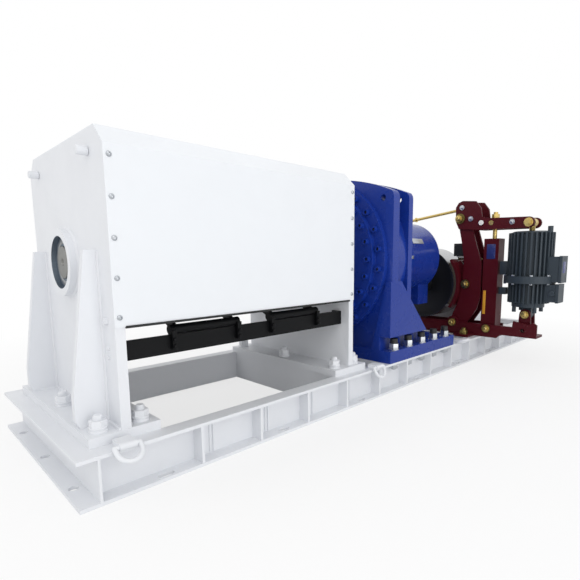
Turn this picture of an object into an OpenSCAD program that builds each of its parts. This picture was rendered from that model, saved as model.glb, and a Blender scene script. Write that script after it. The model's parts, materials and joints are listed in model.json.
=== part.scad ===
/* [Base frame] */
// Length of the base frame beyond the motor's foot
frame_tail = 272; // [250:4:320]
// Width of the base frame over the rail flanges
frame_w = 710; // [690:5:740]
// Height of the channel section
rail_h = 120; // [110:2:140]
// Width of a channel flange
rail_flange_w = 50; // [46:1:56]
// Thickness of a channel flange
rail_flange_t = 9; // [7:0.5:12]
// Thickness of the channel web
rail_web_t = 6; // [5:0.5:8]
// Distance between rail stiffeners
stiffener_pitch = 200; // [180:5:230]
// First stiffener from the end of the frame
stiffener_first = 310; // [280:5:340]
// Thickness of a stiffener plate
stiffener_t = 8; // [6:1:12]
// Width of an anchor slot
slot_w = 18; // [14:1:22]
// Length of an anchor slot
slot_l = 44; // [34:1:54]
// First rail anchor slot from the end of the frame
slot_first = 210; // [190:5:230]
// Distance between rail anchor slots
slot_pitch = 400; // [360:10:420]
// Distance between the anchor holes in an end channel
end_hole_pitch = 240; // [200:5:260]

/* [Stands] */
// Distance from the frame's end to the drum stand
stand_s = 120; // [116:1:130]
// Distance over the outer faces of the two stands
stand_span = 880; // [850:5:920]
// Thickness of a stand plate
stand_t = 25; // [20:1:30]
// Width of a stand plate
stand_w = 604; // [590:2:608]
// Height of a stand plate above its base plate
stand_h = 712; // [690:4:740]
// Length of a stand base plate along the winch
stand_base_l = 175; // [170:1:190]
// Thickness of a stand base plate
stand_base_t = 24; // [20:1:30]
// Base plate outside the left stand plate
left_base_out = 77; // [74:1:82]
// Base plate outside the right stand plate
right_base_out = 55; // [52:1:64]
// Height of the drum axis above the rails
drum_axis_h = 425; // [415:5:440]
// Radius of the bearing boss on a stand
boss_r = 92; // [88:1:98]
// Length of the bearing boss outside the plate
boss_out = 22; // [16:1:28]
// Height of the stand ribs
rib_h = 432; // [400:4:460]
// Distance between the outer faces of the ribs
rib_span = 450; // [430:5:470]

/* [Cover] */
// Thickness of the cover sheet
cover_t = 3; // [2:0.5:5]
// Height of the cover's side above its lower edge
cover_side_h = 418; // [390:4:440]

/* [Drum] */
// Radius of the rope drum barrel
barrel_r = 150; // [140:1:152]
// Radius of the drum flanges
drum_flange_r = 192; // [180:1:198]
// Thickness of a drum flange
drum_flange_t = 22; // [16:1:28]
// Pitch of the rope grooves
groove_pitch = 26; // [22:1:34]
// Radius of the drum shaft
drum_shaft_r = 45; // [40:1:50]

/* [Rope press] */
// Height of the press bar section
press_bar_h = 50; // [46:1:60]
// Height of the press bar's lower edge above the rails
press_bar_z = 181; // [176:1:190]
// Distance of the press bar from the middle
press_bar_y = 258; // [254:1:264]
// Radius of a press roller
press_roller_r = 22; // [18:1:24]

/* [Gear unit] */
// Distance from the right stand to the gear unit's front plate
gear_gap = 184; // [178:1:200]
// Thickness of the front plate
gear_plate_t = 42; // [36:1:48]
// Distance between the front and the back plate
gear_plate_gap = 68; // [60:1:76]
// Thickness of the back plate
back_plate_t = 30; // [26:1:36]
// Width of both plates
gear_plate_w = 704; // [690:2:704]
// Height of the plates above the rails at the middle
gear_plate_h = 762; // [745:5:780]
// Drop of the arched top at its corners
gear_arch = 60; // [50:1:70]
// Radius of the front flange
front_flange_r = 330; // [324:1:336]
// Radius of the outer bolt circle
outer_bolt_r = 306; // [302:1:310]
// Radius of the inner bolt circle
inner_bolt_r = 266; // [260:1:270]
// Radius of the planet case
planet_case_r = 186; // [176:1:196]
// Length of the planet case
planet_case_l = 441; // [425:1:460]
// Length of the input case
input_case_l = 100; // [90:1:110]
// Half the width of the lower input case
input_case_half = 122; // [112:1:132]
// Length of the foot plate
gear_foot_l = 544; // [530:2:560]
// Thickness of the foot plate
gear_foot_t = 50; // [44:1:56]

/* [Brake] */
// Distance from the input case to the brake drum
brake_gap = 140; // [130:1:150]
// Radius of the brake drum
brake_drum_r = 200; // [190:1:205]
// Width of the brake drum
brake_drum_w = 170; // [160:1:180]
// Height of the brake axis above the rails
brake_axis_h = 280; // [275:1:290]
// Thickness of the brake lining
lining_t = 10; // [8:1:12]
// Thickness of a lever plate
lever_t = 12; // [10:1:14]
// Distance between a lever's two plates
lever_gap = 66; // [62:1:72]
// Width of a brake shoe
shoe_w = 146; // [130:2:150]
// Height from a lever's foot pin to its head pin
lever_h = 575; // [565:1:585]
// Distance of the lever foot pins from the middle
lever_foot_y = 190; // [188:1:194]
// Reach of the release crank from its pivot to the thruster
crank_reach = 356; // [352:1:360]
// Width of the spring tube
spring_tube_w = 78; // [72:1:80]
// Radius of the main brake pins
brake_pin_r = 15; // [12:0.5:16]
// Play where the linkage is closed at the release crank
link_play = 1.5; // [1.5:0.1:2.5]

/* [Thruster] */
// Radius over the fins of the thruster
thruster_r = 106; // [100:1:108]
// Height of the thruster's bottom pin above the rails
thruster_pin_h = 135; // [132:1:140]
// Distance between the thruster's pins
thruster_pins = 464; // [460:1:468]

/* [Motor] */
// Width of the servo motor
motor_w = 240; // [220:2:260]
// Length of the servo motor body
motor_l = 370; // [340:5:390]
// Distance from the brake drum to the motor flange
motor_gap = 95; // [90:1:105]

/* [Fasteners and rings] */
// Nominal radius of a stand bolt
stand_bolt_r = 12; // [10:0.5:13]
// Nominal radius of a gear foot bolt
foot_bolt_r = 12; // [10:0.5:12]
// Nominal radius of a small machine bolt
small_bolt_r = 8; // [6:0.5:8]
// Inside width of a lifting ring
ring_w = 46; // [42:1:54]
// Radial running clearance of shafts and pins
running_fit = 0.05; // [0.02:0.01:0.1]
// Clearance between pieces that pass each other
side_fit = 0.4; // [0.3:0.1:1]

/* [Hidden] */
$fn = 64;
// Overrun of every cut
cut = 1;

// Sizes that stay as they are
end_hole_r = 12;
cover_screws_n = 5;
cover_screw_r = 8;
edge_strip_h = 6;
barrel_wall = 18;
drum_gap = 34;
press_l = 224;
press_bar_t = 12;
rib_t = 20;
gear_bolts_n = 24;
lever_foot_h = 62;
thruster_fins_n = 30;
ring_bar_r = 6;
motor_bracket_t = 22;
motor_foot_t = 20;
stand_cut = 45;

// Colours of the finishes
white_paint = "#e9ebee";
blue_paint = "#1f4fae";
red_paint = "#5a1a22";
dark_steel = "#2a2b2e";
bright_steel = "#b9b8b0";
grey_cast = "#5b646b";

// Stations along the winch, from the middle of the frame
motor_foot_l = 300;
gear_unit_l = gear_plate_t + gear_plate_gap + back_plate_t + planet_case_l + input_case_l;
drive_l = brake_gap + brake_drum_w + motor_gap - motor_bracket_t + motor_foot_l;
frame_l = stand_s + stand_span + gear_gap + gear_unit_l + drive_l + frame_tail;
frame_x = -frame_l / 2;
rail_back_y = frame_w / 2 - rail_flange_w;
left_plate_x = frame_x + stand_s;
right_plate_x = left_plate_x + stand_span - stand_t;
left_inner_x = left_plate_x + stand_t;
left_base_x = left_plate_x - left_base_out;
right_base_x = left_plate_x + stand_span + right_base_out - stand_base_l;
stand_z = rail_h + stand_base_t;
stand_top_z = stand_z + stand_h;
drum_z = rail_h + drum_axis_h;

// Bolt rows of the stands
bolt_inset = 38;
base_over = [4, 18];
stand_bolt_edge = 36;
bolt_washer_r = stand_bolt_r * 1.83;
function stand_half(side) = stand_w / 2 + base_over[side < 0 ? 0 : 1];
function bolt_row_y(side) = stand_half(side) - bolt_inset;
function bolt_side(x) = x < (left_plate_x + right_plate_x) / 2 ? -1 : 1;
left_rows = [left_base_x + stand_bolt_edge, left_base_x + stand_base_l - stand_bolt_edge];
right_rows = [right_base_x + stand_bolt_edge, right_plate_x + stand_t + bolt_washer_r + cut];

// Gear unit stations
gear_plate_x = left_plate_x + stand_span + gear_gap;
back_plate_x = gear_plate_x + gear_plate_t + gear_plate_gap;
planet_case_x = back_plate_x + back_plate_t;
input_case_x = planet_case_x + planet_case_l;
input_end_x = input_case_x + input_case_l;
input_mid_x = input_case_x + input_case_l / 2;
front_flange_t = 24;
hub_disc_t = 22;
flange_x = gear_plate_x - front_flange_t;
gear_front_x = flange_x - hub_disc_t;
gear_foot_out = 8;
gear_foot_x = gear_plate_x - gear_foot_out;
foot_bolt_edge = 56;
foot_bolts_n = 5;
foot_bolt_pitch = (gear_foot_l - foot_bolt_edge * 2) / (foot_bolts_n - 1);
foot_bolt_y = frame_w / 2 - (rail_flange_w - rail_web_t) / 2;
pocket_y = foot_bolt_y - foot_bolt_r * 2.75;
pocket_h = 58;

// Brake stations
brake_z = rail_h + brake_axis_h;
brake_drum_x = input_end_x + brake_gap;
brake_x = brake_drum_x + brake_drum_w / 2;
lever_foot_z = rail_h + lever_foot_h;
lever_head_z = lever_foot_z + lever_h;
lever_head_out = 24;
lever_head_y = lever_foot_y + lever_head_out;
shoe_pin_out = 62;
shoe_pin_y = lever_foot_y + shoe_pin_out;
crank_side_gap = 1;
crank_x_half = lever_gap / 2 + lever_t + crank_side_gap;
thruster_y = lever_head_y + crank_reach;
thruster_foot_z = rail_h + thruster_pin_h;
thruster_head_z = thruster_foot_z + thruster_pins;
spring_reach = 170;
spring_y = lever_head_y + spring_reach;
spring_foot_h = 46;
spring_foot_z = rail_h + spring_foot_h;
spring_head_drop = 31;
spring_head_z = lever_head_z - spring_head_drop;
tie_pin_up = 58;
tie_pin_out = 9;

// Motor stations
motor_flange_x = brake_drum_x + brake_drum_w + motor_gap;
motor_bracket_x = motor_flange_x - motor_bracket_t;

// Cross members: place of each web and the way its flanges point
cross_w = rail_flange_w;
cross_back = bolt_washer_r + rail_web_t + cut;
gear_cross_n = 3;
gear_cross_pitch = (gear_foot_l - cross_w) / (gear_cross_n - 1);
base_half = lever_gap / 2 + lever_t + side_fit * 5;
base_side_t = 12;
lug_w = 84;
lug_x = base_half + base_side_t + lug_w / 2 - cut;
lug_y = 280;
brake_cross = lug_x + cross_back;
brake_bolt_at = [for (s = [-1, 1], y = [-1, 1]) [brake_x + s * lug_x, y * lug_y]];
cross_at = concat(
    [[left_rows[0] + cross_back, -1], [left_rows[1] - cross_back, 1]],
    [for (x = right_rows) [x - cross_back, 1]],
    [for (i = [0:gear_cross_n - 1]) [gear_foot_x + i * gear_cross_pitch, 1]],
    [[brake_x - brake_cross, 1], [brake_x + brake_cross, -1]],
    [[motor_bracket_x, 1], [motor_bracket_x + motor_foot_l, -1]]
);

// Places of the lifting rings along the frame
ring_left_in = 12;
ring_mid_in = 100;
ring_right_out = 60;
ring_x = [left_plate_x - ring_left_in, gear_plate_x - ring_mid_in,
    gear_foot_x + gear_foot_l + ring_right_out];
ring_axis_y = frame_w / 2 + ring_bar_r + ring_bar_r / 2;
ring_axis_z = rail_h + ring_bar_r + ring_bar_r / 2;

// A piece whose own +Z runs along +X
module along_x(x, y, z) {
    translate([x, y, z]) rotate([0, 90, 0]) children();
}

// A piece whose own +Z runs along +Y
module along_y(x, y, z) {
    translate([x, y, z]) rotate([-90, 0, 0]) children();
}

// An outline drawn in (y, z), as a plate of thickness t from x
module plate_yz(x, t) {
    translate([x, 0, 0]) rotate([90, 0, 90]) linear_extrude(t) children();
}

// An outline drawn in (x, z), as a plate of thickness t from y
module plate_xz(y, t) {
    translate([0, y + t, 0]) rotate([90, 0, 0]) linear_extrude(t) children();
}

// Round bars along X and along Y, and a piece raised by h
module x_rod(x, y, z, r, l) {
    along_x(x, y, z) cylinder(r = r, h = l);
}

module y_rod(x, y, z, r, l) {
    along_y(x, y, z) cylinder(r = r, h = l);
}

module up(h) {
    translate([0, 0, h]) children();
}

// A bore along X, or down along Z, right through a wall of thickness l
module x_bore(x, y, z, r, l) {
    x_rod(x - cut, y, z, r, l + cut * 2);
}

module z_bore(x, y, z, r, l) {
    translate([x, y, z - cut]) cylinder(r = r, h = l + cut * 2);
}

// Both sides of the middle plane
module both_sides() {
    children();
    mirror([0, 1, 0]) children();
}

// A washer, a hexagon head or nut and a stud end, on z = 0
module bolt_top(r, stud) {
    washer_t = r * 0.3;
    head_h = r * 1.3;
    cylinder(r = r * 1.83, h = washer_t);
    up(washer_t) cylinder(r = r * 1.73, h = head_h, $fn = 6);
    if (stud > 0) up(washer_t + head_h) cylinder(r = r, h = stud);
}

// A bolt through a wall of thickness grip, with its head at z = 0 and its nut under the wall
module through_bolt(r, grip, stud) {
    bolt_top(r, stud);
    up(-grip) cylinder(r = r, h = grip);
    up(-grip) mirror([0, 0, 1]) bolt_top(r, r / 2);
}

// A socket head screw whose head stands on z = 0
module socket_screw(r, depth) {
    difference() {
        cylinder(r = r * 1.5, h = r * 2);
        up(r) cylinder(r = r * 0.9, h = r + cut, $fn = 6);
    }
    up(-depth) cylinder(r = r, h = depth);
}

// A slot along X through a flange at z = 0
module slot_cut(w, l) {
    up(-cut) linear_extrude(rail_flange_t + cut * 2) {
        square([l - w, w], center = true);
        for (s = [-1, 1]) translate([s * (l - w) / 2, 0]) circle(w / 2);
    }
}

// Channel section with its back on y = 0 and its flanges towards +y
module channel_section(h, w) {
    difference() {
        square([w, h]);
        translate([rail_web_t, rail_flange_t]) square([w, h - rail_flange_t * 2]);
    }
}

// Number of copies that fit from first to the frame's far end
function fit_count(first, pitch) = floor((frame_l - first * 2) / pitch + 0.001);

module side_rail() {
    rail_x = frame_x + rail_flange_w;
    rail_l = frame_l - rail_flange_w * 2;
    difference() {
        union() {
            translate([rail_x, rail_back_y, 0]) rotate([90, 0, 90])
                linear_extrude(rail_l) channel_section(rail_h, rail_flange_w);
            for (i = [0:fit_count(stiffener_first, stiffener_pitch)])
                translate([frame_x + stiffener_first + i * stiffener_pitch - stiffener_t / 2, stiffener_y, 0])
                    cube([stiffener_t, frame_w / 2 - stiffener_t / 4 - stiffener_y, rail_h - cut]);
        }
        for (i = [0:fit_count(slot_first, slot_pitch)])
            translate([frame_x + slot_first + i * slot_pitch, rail_slot_y, 0]) slot_cut(slot_w, slot_l);
        for (i = [0:foot_bolts_n - 1])
            z_bore(foot_bolt_x(i), foot_bolt_y, rail_h - rail_flange_t, foot_bolt_r + side_fit,
                rail_flange_t);
    }
}
rail_slot_y = frame_w / 2 - slot_w;
stiffener_y = rail_back_y + rail_web_t - cut;
function foot_bolt_x(i) = beside_stiffener(gear_foot_x + foot_bolt_edge + i * foot_bolt_pitch);

// A place along the rail, moved aside where a stiffener is too near
nut_room = foot_bolt_r * 1.83 + stiffener_t;
function from_stiffener(x) =
    (x - frame_x - stiffener_first + stiffener_pitch / 2) % stiffener_pitch - stiffener_pitch / 2;
function beside_stiffener(x) = let (d = from_stiffener(x))
    abs(d) < nut_room ? x - d + (d < 0 ? -nut_room : nut_room) : x;

module side_rails() {
    color(white_paint) both_sides() side_rail();
}

module end_channel() {
    difference() {
        translate([frame_x + rail_flange_w, frame_w / 2, 0]) rotate([90, 0, 0])
            linear_extrude(frame_w) mirror([1, 0]) channel_section(rail_h, rail_flange_w);
        for (s = [-1:1])
            z_bore(frame_x + (rail_flange_w - rail_web_t) / 2, s * end_hole_pitch, 0, end_hole_r,
                rail_flange_t);
    }
}

module end_channels() {
    color(white_paint) {
        end_channel();
        mirror([1, 0, 0]) end_channel();
    }
}

module cross_members() {
    color(white_paint) difference() {
        for (p = cross_at)
            translate([p[0], rail_back_y, 0]) rotate([90, 0, 0])
                linear_extrude(rail_back_y * 2) scale([p[1], 1]) channel_section(rail_h, cross_w);
        for (x = concat(left_rows, right_rows), y = [-1:1])
            z_bore(x, y * bolt_row_y(bolt_side(x)), rail_h - rail_flange_t, stand_bolt_r + side_fit,
                rail_flange_t);
        for (p = brake_bolt_at)
            z_bore(p[0], p[1], rail_h - rail_flange_t, stand_bolt_r + side_fit, rail_flange_t);
    }
}

// Outline of a stand plate in (y, z)
module stand_outline() {
    half = stand_w / 2;
    polygon([
        [-half, stand_z], [half, stand_z], [half, stand_top_z - stand_cut],
        [half - stand_cut, stand_top_z], [stand_cut - half, stand_top_z], [-half, stand_top_z - stand_cut]
    ]);
}

boss_wall = 20;
bearing_r = boss_r - boss_wall;
shaft_seat_l = boss_out + stand_t;

// Stand plate with its boss, ribs and base plate; side is -1 where the outside faces -X
module stand(plate_x, base_x, side) {
    outer_x = side < 0 ? plate_x : plate_x + stand_t;
    boss_x = side < 0 ? plate_x - boss_out : plate_x;
    base_l = side < 0 ? plate_x - base_x : base_x + stand_base_l - outer_x;
    rib_top = base_l * 0.4;
    difference() {
        union() {
            plate_yz(plate_x, stand_t) stand_outline();
            x_rod(boss_x, 0, drum_z, boss_r, shaft_seat_l);
            translate([base_x, -stand_half(side), rail_h])
                cube([stand_base_l, stand_half(side) * 2, stand_base_t]);
            both_sides() plate_xz(rib_span / 2 - rib_t, rib_t) polygon([
                [outer_x, stand_z - cut], [outer_x, stand_z + rib_h],
                [outer_x + side * rib_top, stand_z + rib_h],
                [outer_x + side * base_l, stand_z + base_l],
                [outer_x + side * base_l, stand_z + rib_t], [outer_x + side * (base_l - rib_t / 2),
                stand_z - cut]
            ]);
        }
        x_bore(boss_x, 0, drum_z, bearing_r, shaft_seat_l);
        for (x = side < 0 ? left_rows : right_rows, y = [-1:1])
            z_bore(x, y * bolt_row_y(side), rail_h, stand_bolt_r + side_fit, stand_base_t);
        both_sides() for (z = cover_screw_z)
            y_rod(screw_x[side < 0 ? 0 : 1], stand_w / 2 - screw_depth - cut, z, screw_shank_r + side_fit,
                screw_depth + cut * 2);
        for (y = top_screw_y)
            z_bore(screw_x[side < 0 ? 0 : 1], y, stand_top_z - screw_depth + cut, screw_shank_r + side_fit,
                screw_depth);
        for (z = press_bolt_z) x_bore(plate_x, -press_bar_y, z, press_screw_r + side_fit, stand_t);
        x_bore(plate_x, -press_bar_y, upper_bolt_z, upper_bolt_r + side_fit, stand_t);
    }
}

// Places of the cover screws
screw_shank_r = cover_screw_r / 2;
screw_depth = 16;
cover_low_z = stand_top_z - stand_cut - cover_side_h;
screw_edge = 24;
cover_screw_z = [
    for (i = [0:cover_screws_n - 1])
        cover_low_z + screw_edge + i * (cover_side_h - screw_edge * 2) / (cover_screws_n - 1)
];
top_screw_pitch = 190;
top_screw_y = [for (i = [-1:1]) i * top_screw_pitch];
screw_x = [left_plate_x + stand_t / 2, right_plate_x + stand_t / 2];

module left_stand() {
    color(white_paint) stand(left_plate_x, left_base_x, -1);
}

module right_stand() {
    color(white_paint) stand(right_plate_x, right_base_x, 1);
}

// Stand bolts, each on a stack of two washers
module stand_bolts() {
    washers_h = stand_bolt_r * 0.8;
    color(bright_steel) for (x = concat(left_rows, right_rows), y = [-1:1])
        translate([x, y * bolt_row_y(bolt_side(x)), stand_z]) {
            cylinder(r = bolt_washer_r, h = washers_h * 0.6);
            cylinder(r = bolt_washer_r * 0.9, h = washers_h);
            up(washers_h)
                through_bolt(stand_bolt_r, stand_base_t + rail_flange_t + washers_h, stand_bolt_r);
        }
}

// Lifting studs near the top of each stand
stud_y = 212;
stud_drop = 50;
stud_r = 11;
stud_l = 27;
module lifting_studs() {
    color(white_paint) for (y = [-1, 1], side = [-1, 1]) {
        face_x = side < 0 ? left_plate_x : right_plate_x + stand_t;
        along_x(face_x, y * stud_y, stand_top_z - stud_drop) mirror([0, 0, side < 0 ? 1 : 0])
            cylinder(r = stud_r, h = stud_l);
    }
}

// Outline of the cover in (y, z), grown by g from the stand's edge
module cover_outline(g) {
    half = stand_w / 2 + g;
    top = stand_top_z + g;
    corner = stand_cut + g * 0.6;
    polygon([
        [-half, cover_low_z], [half, cover_low_z], [half, top - corner],
        [half - corner, top], [corner - half, top], [-half, top - corner]
    ]);
}

module guard_cover() {
    color(white_paint) difference() {
        plate_yz(left_plate_x, stand_span) difference() {
            cover_outline(cover_t);
            cover_outline(0);
            translate([-stand_w / 2, cover_low_z - cut]) square([stand_w, cover_side_h / 2]);
        }
        for (x = screw_x, z = cover_screw_z)
            y_rod(x, -stand_w, z, screw_shank_r + side_fit, stand_w * 2);
        for (x = screw_x, y = top_screw_y)
            z_bore(x, y, stand_top_z, screw_shank_r + side_fit, cover_t);
    }
}

// Rubber strip with a groove that the sheet's lower edge sits in
module cover_edge_strip() {
    strip_t = cover_t * 3;
    color(dark_steel) both_sides() difference() {
        translate([left_inner_x + side_fit, stand_w / 2 - cover_t, cover_low_z - edge_strip_h / 2])
            cube([stand_span - stand_t * 2 - side_fit * 2, strip_t, edge_strip_h]);
        translate([left_plate_x, stand_w / 2, cover_low_z])
            cube([stand_span, cover_t, edge_strip_h]);
    }
}

module cover_screw() {
    cylinder(r1 = cover_screw_r, r2 = cover_screw_r * 0.6, h = cover_screw_r / 2);
    up(cut - screw_depth) cylinder(r = screw_shank_r, h = screw_depth - cut);
}

module cover_screws() {
    color(bright_steel) {
        both_sides() for (x = screw_x, z = cover_screw_z)
            along_y(x, stand_w / 2 + cover_t, z) cover_screw();
        for (x = screw_x, y = top_screw_y)
            translate([x, y, stand_top_z + cover_t]) cover_screw();
    }
}

// Rope drum: a grooved barrel between two flanges, with end webs on the shaft
drum_x = left_inner_x + drum_gap;
drum_l = stand_span - stand_t * 2 - drum_gap * 2;
groove_depth = groove_pitch * 0.15;
module rope_drum() {
    inner_r = barrel_r - barrel_wall;
    barrel_l = drum_l - drum_flange_t * 2;
    grooves_n = floor(barrel_l / groove_pitch) - 1;
    first_x = drum_flange_t + (barrel_l - grooves_n * groove_pitch) / 2;
    color(dark_steel) along_x(drum_x, 0, drum_z) rotate_extrude($fn = 96) {
        difference() {
            union() {
                translate([0, 0]) square([drum_flange_r, drum_flange_t]);
                translate([0, drum_l - drum_flange_t]) square([drum_flange_r, drum_flange_t]);
                translate([inner_r, 0]) square([barrel_wall, drum_l]);
            }
            translate([0, -cut]) square([drum_shaft_r, drum_l + cut * 2]);
            for (i = [0:grooves_n])
                translate([barrel_r, first_x + i * groove_pitch]) polygon([
                    [-groove_depth, -groove_pitch / 8], [-groove_depth, groove_pitch / 8],
                    [groove_depth, groove_pitch * 0.375], [groove_depth, -groove_pitch * 0.375]
                ]);
        }
    }
}

// Drum shaft from the left bearing to the coupling
shaft_out = 4;
shaft_x = left_plate_x - boss_out + shaft_out * 2;
coupling_r = 120;
coupling_flange_t = 24;
coupling_x = right_plate_x + stand_t + boss_out + shaft_out * 2;
coupling_l = gear_front_x - coupling_x - shaft_out;
module drum_shaft() {
    shaft_l = coupling_x + coupling_l / 2 - shaft_x;
    color(bright_steel) along_x(shaft_x, 0, drum_z) difference() {
        cylinder(r = drum_shaft_r - side_fit / 8, h = shaft_l);
        up(-cut) cylinder(r1 = drum_shaft_r / 4, r2 = drum_shaft_r / 8, h = drum_shaft_r / 4);
    }
}

// Rolling bearings, with their cover rings, in the stands' bosses
module shaft_bearing(x) {
    ring_t = (bearing_r - drum_shaft_r) * 0.28;
    bearing_l = shaft_seat_l * 0.55;
    color(bright_steel) along_x(x, 0, drum_z) difference() {
        cylinder(r = bearing_r - side_fit / 8, h = bearing_l);
        up(-cut) cylinder(r = drum_shaft_r + running_fit, h = bearing_l + cut * 2);
        for (z = [-cut, bearing_l - ring_t])
            up(z) difference() {
                cylinder(r = bearing_r - ring_t, h = ring_t + cut);
                up(-cut) cylinder(r = drum_shaft_r + ring_t, h = ring_t + cut * 3);
            }
    }
}

module shaft_bearings() {
    seat_in = shaft_seat_l * 0.3;
    shaft_bearing(left_plate_x - boss_out + seat_in);
    shaft_bearing(right_plate_x + shaft_seat_l * 0.15);
}

// Flanged coupling from the drum shaft to the output shaft
module drum_coupling() {
    mid_x = coupling_x + coupling_l / 2;
    output_r = drum_shaft_r * 1.3;
    color(dark_steel) difference() {
        union() {
            x_rod(coupling_x, 0, drum_z, coupling_r * 0.7, coupling_l);
            x_rod(mid_x - coupling_flange_t, 0, drum_z, coupling_r, coupling_flange_t * 2);
            x_rod(mid_x + coupling_flange_t, 0, drum_z, output_r,
                gear_front_x + hub_disc_t - mid_x - coupling_flange_t);
            for (a = [0:45:315])
                along_x(mid_x, 0, drum_z) rotate([0, 0, a]) translate([coupling_r * 0.85, 0, 0])
                    for (s = [0, 1]) mirror([0, 0, s]) up(coupling_flange_t)
                        cylinder(r = small_bolt_r * 1.5, h = small_bolt_r, $fn = 6);
        }
        x_rod(coupling_x - cut, 0, drum_z, drum_shaft_r, coupling_l / 2 + cut);
    }
}

// Press bar across the stands, on end cleats
press_z = rail_h + press_bar_z;
press_bolt_z = [for (s = [0.3, 0.75]) press_z + press_bar_h * s];
press_screw_r = 3;
upper_bolt_r = 5;
upper_bolt_z = cover_low_z + upper_bolt_r * 2.4;
cleat_t = 10;
cleat_l = 40;
module press_bar() {
    bar_x = left_inner_x;
    bar_l = stand_span - stand_t * 2;
    color(dark_steel) difference() {
        union() {
            translate([bar_x, -press_bar_y - press_bar_t / 2, press_z])
                cube([bar_l, press_bar_t, press_bar_h]);
            for (x = [bar_x, bar_x + bar_l - cleat_t])
                translate([x, -press_bar_y - press_bar_t / 2, press_z]) cube([cleat_t, cleat_l, press_bar_h]);
        }
        for (z = press_bolt_z, x = [bar_x, bar_x + bar_l - cleat_l])
            x_bore(x, -press_bar_y, z, press_screw_r + side_fit, cleat_l);
    }
}

// Two sets of hinge brackets on the bar; a set starts at press_set_x(i)
press_set_pitch = 342;
function press_set_x(i) = left_plate_x + (stand_span - press_l) / 2 + (i - 0.5) * press_set_pitch;
press_axis_up = 14;
press_axis_z = press_z + press_bar_h + press_axis_up;
press_pin_r = 7;
press_hub_r = 13;
bracket_t = 14;
module press_brackets() {
    bracket_w = press_bar_h / 2;
    color(dark_steel) {
        for (i = [0, 1], j = [0, 1]) {
            bx = press_set_x(i) + j * (press_l - bracket_t);
            difference() {
                union() {
                    translate([bx, -press_bar_y - press_bar_t / 2 - bracket_t, press_z + press_bar_h / 4])
                        cube([bracket_t, bracket_t, press_bar_h * 0.75 + press_axis_up]);
                    x_rod(bx, -press_bar_y, press_axis_z, press_hub_r, bracket_t);
                    translate([bx, -press_bar_y - press_bar_t / 2 - bracket_t, press_z + press_bar_h])
                        cube([bracket_t, bracket_t + press_bar_t, press_axis_up]);
                }
                x_bore(bx, -press_bar_y, press_axis_z, press_pin_r + running_fit, bracket_t);
            }
        }
    }
}

// Painted screws that hold the bar to the stands, and a bolt above them
module press_bolts() {
    shank_l = stand_t + cleat_l - side_fit;
    color(white_paint) for (side = [0, 1]) {
        face_x = side == 0 ? left_plate_x : right_plate_x + stand_t;
        for (z = press_bolt_z)
            along_x(face_x, -press_bar_y, z) mirror([0, 0, 1 - side]) {
                bolt_top(press_screw_r, 0);
                up(-shank_l) cylinder(r = press_screw_r, h = shank_l);
            }
        along_x(face_x, -press_bar_y, upper_bolt_z) mirror([0, 0, 1 - side])
            through_bolt(upper_bolt_r, stand_t, 0);
    }
}

// Roller axis, just clear of the barrel
press_angle = 44;
press_reach_r = barrel_r + press_roller_r + side_fit;
roller_y = -press_reach_r * cos(press_angle);
roller_z = drum_z - press_reach_r * sin(press_angle);
arm_t = 10;

// Two arms on a slightly longer pivot tube, in set i
function press_room_x(i) = press_set_x(i) + bracket_t + side_fit;
press_room_l = press_l - bracket_t * 2 - side_fit * 2;
module press_arm(i) {
    x0 = press_room_x(i);
    l = press_room_l;
    dy = roller_y + press_bar_y;
    dz = roller_z - press_axis_z;
    arm_l = sqrt(dy * dy + dz * dz);
    arm_a = atan2(dz, dy);
    color(dark_steel) {
        difference() {
            union() {
                x_rod(x0 - side_fit / 4, -press_bar_y, press_axis_z, press_hub_r, l + side_fit / 2);
                for (x = [x0, x0 + l - arm_t])
                    translate([x, -press_bar_y, press_axis_z]) rotate([arm_a, 0, 0]) {
                        up(-press_hub_r * 0.8) cube([arm_t, arm_l, press_hub_r * 1.6]);
                        x_rod(0, arm_l, 0, press_hub_r, arm_t);
                    }
            }
            x_rod(x0 - cut, roller_y, roller_z, press_pin_r + running_fit, l + cut * 2);
        }
        x_rod(x0 - side_fit - bracket_t, -press_bar_y, press_axis_z, press_pin_r,
            l + side_fit * 2 + bracket_t * 2);
    }
}

module press_arm_left() {
    press_arm(0);
}

module press_arm_right() {
    press_arm(1);
}

// Roller with its own journals in the arms
module press_roller(i) {
    x0 = press_room_x(i);
    l = press_room_l;
    color(dark_steel) {
        x_rod(x0, roller_y, roller_z, press_pin_r, l);
        x_rod(x0 + arm_t + side_fit, roller_y, roller_z, press_roller_r, l - arm_t * 2 - side_fit * 2);
    }
}

module press_roller_left() {
    press_roller(0);
}

module press_roller_right() {
    press_roller(1);
}

// Outline of the gear unit's plates in (y, z): an arched top with round corners
gear_corner_r = 36;
gear_top_z = rail_h + gear_plate_h;
module gear_plate_outline() {
    half = gear_plate_w / 2;
    run = half - gear_corner_r;
    arch_r = (run * run + gear_arch * gear_arch) / (gear_arch * 2);
    corner_z = gear_top_z - gear_arch - gear_corner_r;
    intersection() {
        translate([0, gear_top_z - arch_r]) circle(arch_r, $fn = 180);
        union() {
            translate([-half, rail_h + gear_foot_t - cut])
                square([half * 2, corner_z - rail_h - gear_foot_t + cut]);
            translate([-run, corner_z - cut]) square([run * 2, gear_top_z - corner_z + cut]);
            for (s = [-1, 1]) translate([s * run, corner_z]) circle(gear_corner_r);
        }
    }
}

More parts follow.
